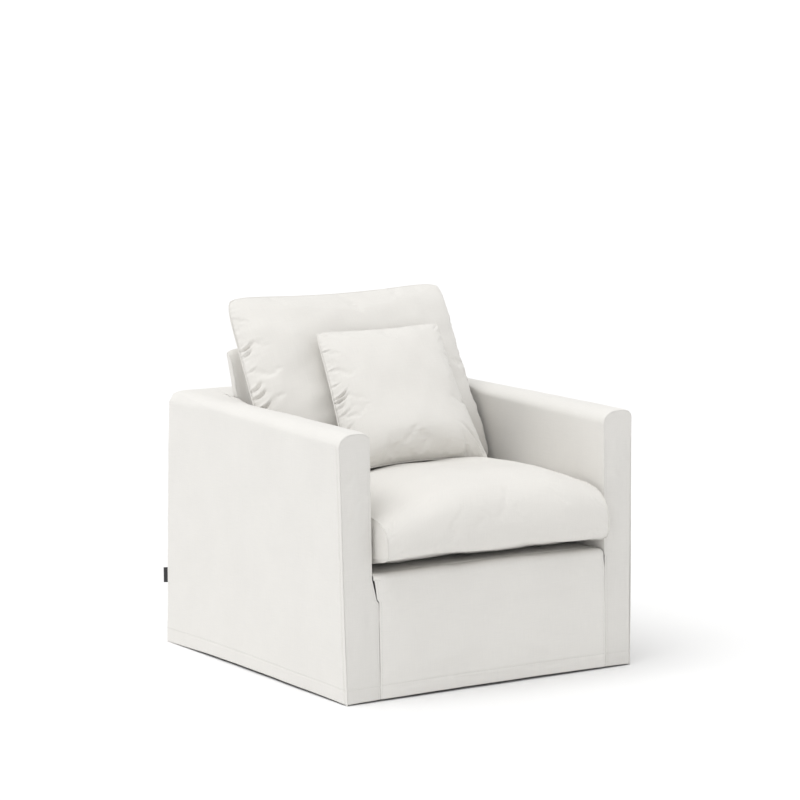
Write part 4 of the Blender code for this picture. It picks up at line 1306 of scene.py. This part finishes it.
def blown_up(thing, cushions, pinned, weight, slack, most_swell):
    """The bag's points after its filling has settled; the bag itself is removed.

    It is given Cloth with inner pressure and no gravity, its sewn edge held; it is stepped
    frame by frame; each point's move is then kept under the largest move, and its part along
    the normal under the largest swell, and both are scaled by the point's weight.
    """
    before, normal = vertex_values(thing, "co"), vertex_values(thing, "normal")
    move = np.zeros(before.shape)
    scene = bpy.context.scene
    seam = thing.vertex_groups.new(name="sewn")
    seam.add([int(i) for i in pinned], 1.0, "REPLACE")
    cloth = thing.modifiers.new("filling", "CLOTH")
    for name, value in BAG_CLOTH.items():
        setattr(cloth.settings, name, value)
    cloth.settings.uniform_pressure_force = cushions.pressure
    cloth.settings.effector_weights.gravity = 0.0
    cloth.settings.vertex_group_mass = seam.name
    cloth.settings.shrink_min = cloth.settings.shrink_max = -slack
    cloth.collision_settings.use_self_collision = False
    cloth.collision_settings.use_collision = False
    cloth.point_cache.frame_start = 1
    cloth.point_cache.frame_end = cushions.fill_frames
    for frame_number in range(1, cushions.fill_frames + 1):
        scene.frame_set(frame_number)
    filled = thing.evaluated_get(bpy.context.evaluated_depsgraph_get())
    move = vertex_values(filled, "co") - before
    scene.frame_set(1)
    bpy.data.objects.remove(thing, do_unlink=True)
    out = np.sum(move * normal, axis=1)
    move += (np.clip(out, -cushions.most_move, most_swell) - out)[:, None] * normal
    length = np.linalg.norm(move, axis=1)
    move *= (np.minimum(length, cushions.most_move) / np.maximum(length, TINY))[:, None]
    return before + move * weight[:, None]


LIP_SIDES = 8
LIP_THICK = 0.0010


def seam_lip(name, path, out_way, reach, finish):
    """A dressed, closed seam lip: a flat ellipse carried along the sewn edge."""
    tangent = unit(np.roll(path, -1, axis=0) - np.roll(path, 1, axis=0))
    aside = unit(np.cross(tangent, out_way))
    turn = 2 * math.pi * np.arange(LIP_SIDES) / LIP_SIDES
    points = (
        path[:, None] + reach * np.cos(turn)[:, None] * aside[:, None]
        + LIP_THICK * np.sin(turn)[:, None] * np.cross(aside, tangent)[:, None])
    quads = tube_quads(np.arange(points[..., 0].size).reshape(points.shape[:2]), closed=True)
    uv = np.stack(np.broadcast_arrays(way_along(path, 0)[:, None], reach * turn), axis=-1)
    dress(mesh_object(name, points, quads, uv, finish), "cushion_linen")


def edge_path(grid):
    """The border of a grid of points as one closed line, counter-clockwise."""
    return np.concatenate([grid[0, :-1], grid[:-1, -1], grid[-1, :0:-1], grid[:0:-1, 0]])


# ---- finishes --------------------------------------------------------------------------------
def feed(tree, made, values):
    """The node with each named input set to its value or linked from its socket."""
    for key, value in values.items():
        if isinstance(value, bpy.types.NodeSocket):
            tree.links.new(value, made.inputs[key])
        else:
            made.inputs[key].default_value = value
    return made


def node(tree, kind, values=None, **settings):
    """A shader node with the given settings and inputs."""
    made = tree.nodes.new(kind)
    for key, value in settings.items():
        setattr(made, key, value)
    return feed(tree, made, values or {})


def math_node(tree, operation, first, second=0.0):
    """A Math node of two values or links."""
    return node(tree, "ShaderNodeMath", {0: first, 1: second}, operation=operation).outputs[0]


def sine(tree, value, factor):
    """The sine of a link times a factor."""
    return math_node(tree, "SINE", math_node(tree, "MULTIPLY", value, factor))


def noise(tree, vector, scale, detail):
    """A Noise texture's value."""
    values = {"Vector": vector, "Scale": scale, "Detail": detail}
    return node(tree, "ShaderNodeTexNoise", values).outputs["Fac"]


def stretched(tree, vector, along, up):
    """Coordinates scaled by a Mapping node."""
    values = {"Vector": vector, "Scale": (along, up, 1.0)}
    return node(tree, "ShaderNodeMapping", values).outputs["Vector"]


def bumped(tree, height, strength, distance):
    """The normal that a height gives."""
    values = {"Height": height, "Strength": strength, "Distance": distance}
    return node(tree, "ShaderNodeBump", values).outputs["Normal"]


def tinted(tree, colour, value, low, high, start=0.0, end=1.0):
    """The colour scaled by a value that is mapped to a span."""
    span = {"Value": value, "From Min": start, "From Max": end, "To Min": low, "To Max": high}
    shade = node(tree, "ShaderNodeMapRange", span).outputs["Result"]
    values = {0: tuple(colour), "Scale": shade}
    return node(tree, "ShaderNodeVectorMath", values, operation="SCALE").outputs["Vector"]


def new_finish(name):
    """A material, its tree and its shader."""
    finish = bpy.data.materials.new(name)
    finish.use_nodes = True
    return finish, finish.node_tree, finish.node_tree.nodes["Principled BSDF"]


def cloth_uv(tree):
    """The metre-true UV, and its parts."""
    uv = node(tree, "ShaderNodeUVMap", uv_map=UV_NAME).outputs["UV"]
    return uv, node(tree, "ShaderNodeSeparateXYZ", {"Vector": uv}).outputs


def linen(name, colour, look):
    """Plain-woven linen.

    The weave is the product of a sine over the warp and a sine over the weft on the piece's
    metre-true UV; threads vary in thickness by noise drawn out along each of them, and the
    colour drifts by a few per cent with the threads and in large soft clouds.
    """
    finish, tree, shader = new_finish(name)
    uv, parts = cloth_uv(tree)
    warp, weft = (sine(tree, parts[axis], math.pi / look.thread_pitch) for axis in "XY")
    per_thread, drawn_out = 0.5 / look.thread_pitch, 22.0
    slub = math_node(tree, "ADD", *(
        noise(tree, stretched(tree, uv, *scale), 1.0, 2.0)
        for scale in ((per_thread, drawn_out), (drawn_out, per_thread))))
    clouds = noise(tree, node(tree, "ShaderNodeTexCoord").outputs["Object"], 7.0, 3.0)
    weave = math_node(tree, "MULTIPLY", math_node(tree, "MULTIPLY", warp, weft), 0.35)
    halves = (math_node(tree, "MULTIPLY", part, 0.5) for part in (slub, clouds))
    drift = math_node(tree, "ADD", *halves)
    feed(tree, shader, {
        "Base Color": tinted(tree, colour, drift, 0.955, 1.035, 0.45, 1.05),
        "Normal": bumped(tree, math_node(tree, "ADD", weave, slub), 0.55, 0.00022),
        "Roughness": look.roughness, "Specular IOR Level": 0.25,
        "Sheen Weight": look.sheen, "Sheen Roughness": 0.5})
    return finish


def sewing_thread(name, colour):
    """Matt twisted thread: a fine wave round each stitch on Object coordinates."""
    finish, tree, shader = new_finish(name)
    twist = noise(tree, node(tree, "ShaderNodeTexCoord").outputs["Object"], 1400.0, 2.0)
    feed(tree, shader, {"Base Color": tinted(tree, colour, twist, 0.90, 1.05), "Roughness": 0.8})
    return finish


def tag_tape(name, colour):
    """Black woven tape: ribs along its height with a little wear in lighter specks."""
    finish, tree, shader = new_finish(name)
    uv, parts = cloth_uv(tree)
    rib = sine(tree, parts["X"], 2 * math.pi / 0.0009)
    specks = noise(tree, stretched(tree, uv, 900.0, 260.0), 1.0, 3.0)
    feed(tree, shader, {
        "Base Color": tinted(tree, colour, specks, 0.7, 1.6),
        "Normal": bumped(tree, math_node(tree, "ADD", rib, specks), 0.6, 0.0002),
        "Roughness": 0.75})
    return finish


def finish_named(name, make, colour, *about, shade=1.0):
    """The finish of that name, made the first time that it is asked for."""
    made = bpy.data.materials.get(name)
    return made or make(name, [shade * part for part in colour], *about)


def cover_linen(look):
    """The cover's linen."""
    return finish_named("plain_cover_weave", linen, look.cover_colour, look)


def painted_shade_strip_linen(look):
    """The cover's linen made darker as painted shade, so that the strips read darker from the front
    than the apron.
    """
    return finish_named("plain_strip_weave", linen, look.cover_colour, look, shade=look.strip_painted_shade)


def cushion_linen(look):
    """The cushions' linen."""
    return finish_named("plain_cushion_weave", linen, look.cushion_colour, look)


def thread(look):
    """The sewing thread, a little darker than the linen."""
    return finish_named("sewing_thread", sewing_thread, look.cover_colour, shade=look.thread_shade)


# ---- one operator for each group of pieces ---------------------------------------------------
class SLIPCOVER_OT_arms(bpy.types.Operator):
    """Make the cloth of both arms, outside, over the top and inside"""

    bl_idname = "slipcover.arms"
    bl_label = "Arm wraps"

    def execute(self, context):
        cloth, look = context.scene.slipcover_cloth, context.scene.slipcover_look
        rows = []
        for side, word in SIDES.items():
            points, part = arm_surface(side, cloth)
            height = arm_relief(side, points, part, cloth)
            piece, *skin = cloth_cut(
                f"arm_{word}", points, height, cover_linen(look), cloth, side > 0)
            dress(piece, "cover_linen", f"arm_wrap_{word}")
            leg = part == LEG
            to_rear = way_along(points, 0)[:, leg].T
            turned = [grid[:, leg].transpose(1, 0, 2) for grid in skin]
            rows.append(row_beside(turned, to_rear, cloth.corner_line))
            hem = np.argmin(np.abs(points[20, leg, 2] - HEM_LIFT - cloth.hem_band))
            rows.append([grid[1:-1, hem] for grid in skin])
        stitches("arm_stitches", rows, context, "cover_linen")
        return {"FINISHED"}


class SLIPCOVER_OT_strips(bpy.types.Operator):
    """Make the narrow strips that close the arms in front"""

    bl_idname = "slipcover.strips"
    bl_label = "Arm front strips"

    def execute(self, context):
        cloth, look = context.scene.slipcover_cloth, context.scene.slipcover_look
        rows = []
        for side, word in SIDES.items():
            points = strip_surface(side, cloth)
            height = strip_relief(side, points, cloth)
            # The strips take the painted-shade linen, a darker copy of the cover's.
            piece, *skin = cloth_cut(
                f"strip_{word}", points, height, painted_shade_strip_linen(look), cloth, side > 0)
            dress(piece, "cover_linen", f"arm_front_{word}")
            from_inner = ways(points)[1][:, ::-1]
            up = points[:, 12, 2]
            mirrored = [grid[:, ::-1] for grid in skin]
            rows.append(row_beside(mirrored, from_inner, cloth.twin_line, up < STRIP_STRAIGHT))
            hem = np.argmin(np.abs(up - cloth.hem_band - STRIP_HEM_LIFT))
            rows.append([grid[hem, 1:-1] for grid in skin])
        stitches("strip_stitches", rows, context, "cover_linen")
        return {"FINISHED"}


def row_beside(skin, distance, away, keep=slice(None)):
    """A line of points and normals across a grid's rows, a set distance from its first column."""
    upper = np.clip(np.argmax(distance > away, axis=1), 1, distance.shape[1] - 1)
    rows = np.arange(len(upper))
    low, high = distance[rows, upper - 1], distance[rows, upper]
    share = ((away - low) / np.maximum(high - low, TINY))[:, None]
    return [mix(grid[rows, upper - 1], grid[rows, upper], share)[keep] for grid in skin]


class SLIPCOVER_OT_apron(bpy.types.Operator):
    """Make the apron over the front rail, with its hem, slits and stitching"""

    bl_idname = "slipcover.apron"
    bl_label = "Front apron"

    def execute(self, context):
        cloth, look = context.scene.slipcover_cloth, context.scene.slipcover_look
        points = apron_surface(cloth)
        height = apron_relief(points, cloth)
        piece, *skin = cloth_cut("apron", points, height, cover_linen(look), cloth)
        dress(piece, "cover_linen", "front_apron")
        from_left, from_right, up, _ = ways(points)
        keep = points[:, 0, 2] < RAIL_TOP - 0.004
        mirrored = [grid[:, ::-1] for grid in skin]
        hem = np.argmin(np.abs(up[:, 40] - cloth.hem_band))
        rows = [
            row_beside(skin, from_left, SEAM_LINE, keep),
            row_beside(mirrored, from_right[:, ::-1], SEAM_LINE, keep),
            [grid[hem, 3:-3] for grid in skin]]
        stitches("apron_stitches", rows, context, "cover_linen")
        return {"FINISHED"}


class SLIPCOVER_OT_back(bpy.types.Operator):
    """Make the deck, the outside back, the bridge and the hood with its ends"""

    bl_idname = "slipcover.back"
    bl_label = "Deck, back and hood"

    def execute(self, context):
        cloth, look = context.scene.slipcover_cloth, context.scene.slipcover_look
        finish = cover_linen(look)
        for name, solid, surface, relief, flat in (
                ("deck", "seat_deck", deck_surface, no_relief, (0.69, 0.48)),
                ("rear_panel", "outside_back", back_surface, back_relief, (0.87, 0.67)),
                ("bridge", "back_bridge", bridge_surface, bridge_relief, (0.70, 0.22)),
                ("hood", "hood_wrap", hood_surface, hood_relief, (0.69, 0.74))):
            points = surface(cloth)
            piece = cloth_cut(name, points, relief(points, cloth), finish, cloth)[0]
            dress(piece, "cover_linen", solid)
        for side, word in SIDES.items():
            points = gusset_surface(side, cloth)
            height = no_relief(points, cloth)
            piece = cloth_cut(f"hood_side_{word}", points, height, finish, cloth, side < 0)[0]
            dress(piece, "cover_linen", f"hood_end_{word}")
        return {"FINISHED"}


REAR_WEIGHT = 0.25
PILLOWS = {
    "back": (
        (BACK_CUSHION, BACK_DRAW, BACK_CORNERS, BACK_DENTS),
        BACK_PUCKERS, (68, 76), back_cushion_room, 91),
    "scatter": (
        (SCATTER, SCATTER_DRAW, SCATTER_CORNERS, ()),
        SCATTER_PUCKERS, (46, 66), None, 95),
}


class SLIPCOVER_OT_pillows(bpy.types.Operator):
    """Blow up the back and scatter cushions and sew their edges"""

    bl_idname = "slipcover.pillows"
    bl_label = "Back and scatter cushions"

    def execute(self, context):
        cushions, look = context.scene.slipcover_cushions, context.scene.slipcover_look
        finish = cushion_linen(look)
        for word, (shape, puckers, counts, room, seed) in PILLOWS.items():
            panels, edge, share = pillow_panels(shape, counts, room)
            bag, inner = sewn_bag("bag", *panels, share, finish)
            pinned = np.flatnonzero(edge)
            weight = np.full(len(bag.data.vertices), REAR_WEIGHT)
            weight[:edge.size] = 1.0
            weight[pinned] = 0.0
            filled = blown_up(bag, cushions, pinned, weight, cushions.slack, cushions.most_swell)
            front = filled[:edge.size].reshape(*edge.shape, 3)
            rear = front.copy()
            rear[inner] = filled[edge.size:]
            front, rear, share = (
                doubled(doubled(doubled(grid, 0), 0), 1) for grid in (front, rear, share))
            front = raised(front, pillow_relief(shape, puckers, share, seed))
            rear = raised(rear, pillow_relief(shape, (), share, seed + 2) * 0.7, flip=True)
            uv = share * np.array([shape[0].half_wide, shape[0].half_high])
            piece = sewn_bag(f"{word}_pillow", front, rear, uv, finish)[0]
            dress(piece, "cushion_linen", f"{word}_cushion")
            out = cushion_frame(shape[0])[2]
            seam_lip(f"{word}_seam", edge_path(front), out, cushions.lip, finish)
        return {"FINISHED"}


class SLIPCOVER_OT_seat(bpy.types.Operator):
    """Blow up the boxed seat cushion and sew its side gussets"""

    bl_idname = "slipcover.seat"
    bl_label = "Seat cushion"

    def execute(self, context):
        cushions, look = context.scene.slipcover_cushions, context.scene.slipcover_look
        finish = cushion_linen(look)
        loops, tips, seams = seat_points(*SEAT_GRID)
        bag = ringed_bag("bag", loops, tips, loops[..., :2], finish)
        index = np.arange(loops[..., 0].size).reshape(loops.shape[:2])
        low = loops[..., 2].min()
        over_foot = 0.15 + 0.85 * smooth(low + 0.01, low + 0.06, loops[..., 2])
        before_rear = 1 - 0.8 * smooth(SEAT_REAR - 0.16, SEAT_REAR - 0.06, loops[..., 1])
        pinned = index[seams].ravel()
        weight = np.append(over_foot * before_rear, [1.0, 1.0])
        weight[pinned] = 0.0
        filled = blown_up(bag, cushions, pinned, weight, cushions.seat_slack, cushions.seat_swell)
        loops = filled[:index.size].reshape(loops.shape)
        loops = doubled(doubled(loops, 0), 1, closed=True)
        seams = [2 * row for row in seams]
        loops = raised(loops, seat_relief(loops, seams), flip=True, closed=True)
        uv = flat_uv(loops)[..., ::-1]
        piece = ringed_bag("seat_pad", loops, filled[index.size:], uv, finish)
        dress(piece, "cushion_linen", "seat_cushion")
        normal = outward(loops, flip=True, closed=True)
        rows = [(loops[row + step], normal[row + step]) for row, step in zip(seams, (1, -1))]
        stitches("seat_stitches", rows, context, "cushion_linen")
        for row, word in zip(seams, SIDES.values()):
            seam_lip(f"seat_seam_{word}", loops[row], X_WAY, cushions.lip, finish)
        return {"FINISHED"}


class SLIPCOVER_OT_tag(bpy.types.Operator):
    """Fold the bare tape tag in the left rear seam"""

    bl_idname = "slipcover.tag"
    bl_label = "Side tag"

    def execute(self, context):
        look = context.scene.slipcover_look
        finish = finish_named("plain_tape_weave", tag_tape, look.tape_colour)
        (x_low, y_low, z_low), (x_high, y_high, z_high) = TAG_BOX
        reach = y_high - y_low
        turn = np.linspace(-math.pi / 2, math.pi / 2, 9)[1:-1]
        run = np.linspace(0, 1, 8) * (reach - 0.003)
        out = np.concatenate([run, reach - 0.0028 + 0.0022 * np.cos(turn), run[::-1]])
        apart = TAG_FOLD * np.concatenate([np.full(8, -1), np.sin(turn), np.full(8, 1)])
        rise = np.linspace(0, 1, 12)[:, None]
        share = out / reach
        x = mix(x_high - 0.003, x_low + 0.003, share) + apart + 0 * rise
        z = mix(z_low + 0.004, z_high - 0.001, rise) - 0.004 * share
        points = np.stack([x, y_low + out + 0 * rise, z], axis=-1)
        piece = mesh_object("tape_tag", points, grid_faces(*x.shape), flat_uv(points), finish)
        thicken(piece, TAG_THICK, 0.0)
        dress(piece, "tag_tape", "side_tag")
        return {"FINISHED"}


FLOOR_HEIGHT = -0.0006
KEY_TURN = (0.0, -21.0, 6.0)
CAMERA_PLACE = (-3.8222, -6.2237, 1.5693)
CAMERA_TURN = (82.981, 0.475, -31.696)


def placed(made, turn, place=(0.0, 0.0, 0.0)):
    """An object for a light or a camera, turned by degrees about its axes."""
    thing = bpy.data.objects.new(made.name, made)
    bpy.context.scene.collection.objects.link(thing)
    thing.location = place
    thing.rotation_euler = [math.radians(angle) for angle in turn]
    return thing


class SLIPCOVER_OT_stage(bpy.types.Operator):
    """Lay the floor and set the light and the camera"""

    bl_idname = "slipcover.stage"
    bl_label = "Floor, light and camera"

    def execute(self, context):
        scene, stage = context.scene, context.scene.slipcover_stage
        finish, tree, shader = new_finish("floor_paint")
        feed(tree, shader, {
            "Base Color": (*stage.floor_colour, 1.0), "Roughness": 0.9, "Specular IOR Level": 0.1})
        side = np.linspace(-stage.floor_half, stage.floor_half, 5)
        x, y = np.meshgrid(side, side)
        points = np.stack([x, y, 0 * x + FLOOR_HEIGHT], axis=-1)
        mesh_object("floor", points, grid_faces(5, 5), points[..., :2], finish)

        scene.world = scene.world or bpy.data.worlds.new("studio")
        scene.world.use_nodes = True
        tree = scene.world.node_tree
        way = node(tree, "ShaderNodeTexCoord").outputs["Generated"]
        fall = node(tree, "ShaderNodeMapRange", {
            "Value": node(tree, "ShaderNodeSeparateXYZ", {"Vector": way}).outputs["Z"],
            "From Min": 0.03, "From Max": 0.42, "To Min": stage.horizon, "To Max": stage.sky,
        }, interpolation_type="SMOOTHSTEP")
        feed(tree, tree.nodes["Background"], {
            "Color": (1.0, 1.0, 1.0, 1.0), "Strength": fall.outputs["Result"]})

        key = bpy.data.lights.new("key", "SUN")
        key.energy, key.angle = stage.key, stage.key_spread
        placed(key, KEY_TURN)
        lens = bpy.data.cameras.new("camera")
        lens.lens, lens.sensor_width, lens.clip_end = stage.lens, 36.0, 300.0
        scene.camera = placed(lens, CAMERA_TURN, CAMERA_PLACE)
        scene.view_settings.view_transform = "Standard"
        return {"FINISHED"}


class SLIPCOVER_PT_panel(bpy.types.Panel):
    """Lists the slipcover's pieces and settings"""

    bl_label = "Slipcover"
    bl_idname = "SLIPCOVER_PT_panel"
    bl_space_type = "VIEW_3D"
    bl_region_type = "UI"
    bl_category = "Slipcover"

    def draw(self, context):
        for made in STEPS:
            self.layout.operator(made.bl_idname)
        for group in GROUPS:
            settings = getattr(context.scene, GROUPS[group])
            box = self.layout.box()
            for name in group.__annotations__:
                box.prop(settings, name)


STEPS = (
    SLIPCOVER_OT_arms, SLIPCOVER_OT_strips, SLIPCOVER_OT_apron, SLIPCOVER_OT_back,
    SLIPCOVER_OT_seat, SLIPCOVER_OT_pillows, SLIPCOVER_OT_tag, SLIPCOVER_OT_stage,
)
GROUPS = {
    SlipcoverCloth: "slipcover_cloth",
    SlipcoverCushions: "slipcover_cushions",
    SlipcoverLook: "slipcover_look",
    SlipcoverStage: "slipcover_stage",
}
CLASSES = (*GROUPS, *STEPS, SLIPCOVER_PT_panel)


def register():
    for made in CLASSES:
        bpy.utils.register_class(made)
    for group, name in GROUPS.items():
        setattr(bpy.types.Scene, name, PointerProperty(type=group))


def unregister():
    for name in GROUPS.values():
        delattr(bpy.types.Scene, name)
    for made in reversed(CLASSES):
        bpy.utils.unregister_class(made)


def main():
    """Register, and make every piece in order."""
    register()
    for made in STEPS:
        group, action = made.bl_idname.split(".")
        getattr(getattr(bpy.ops, group), action)()


if __name__ == "__main__":
    main()
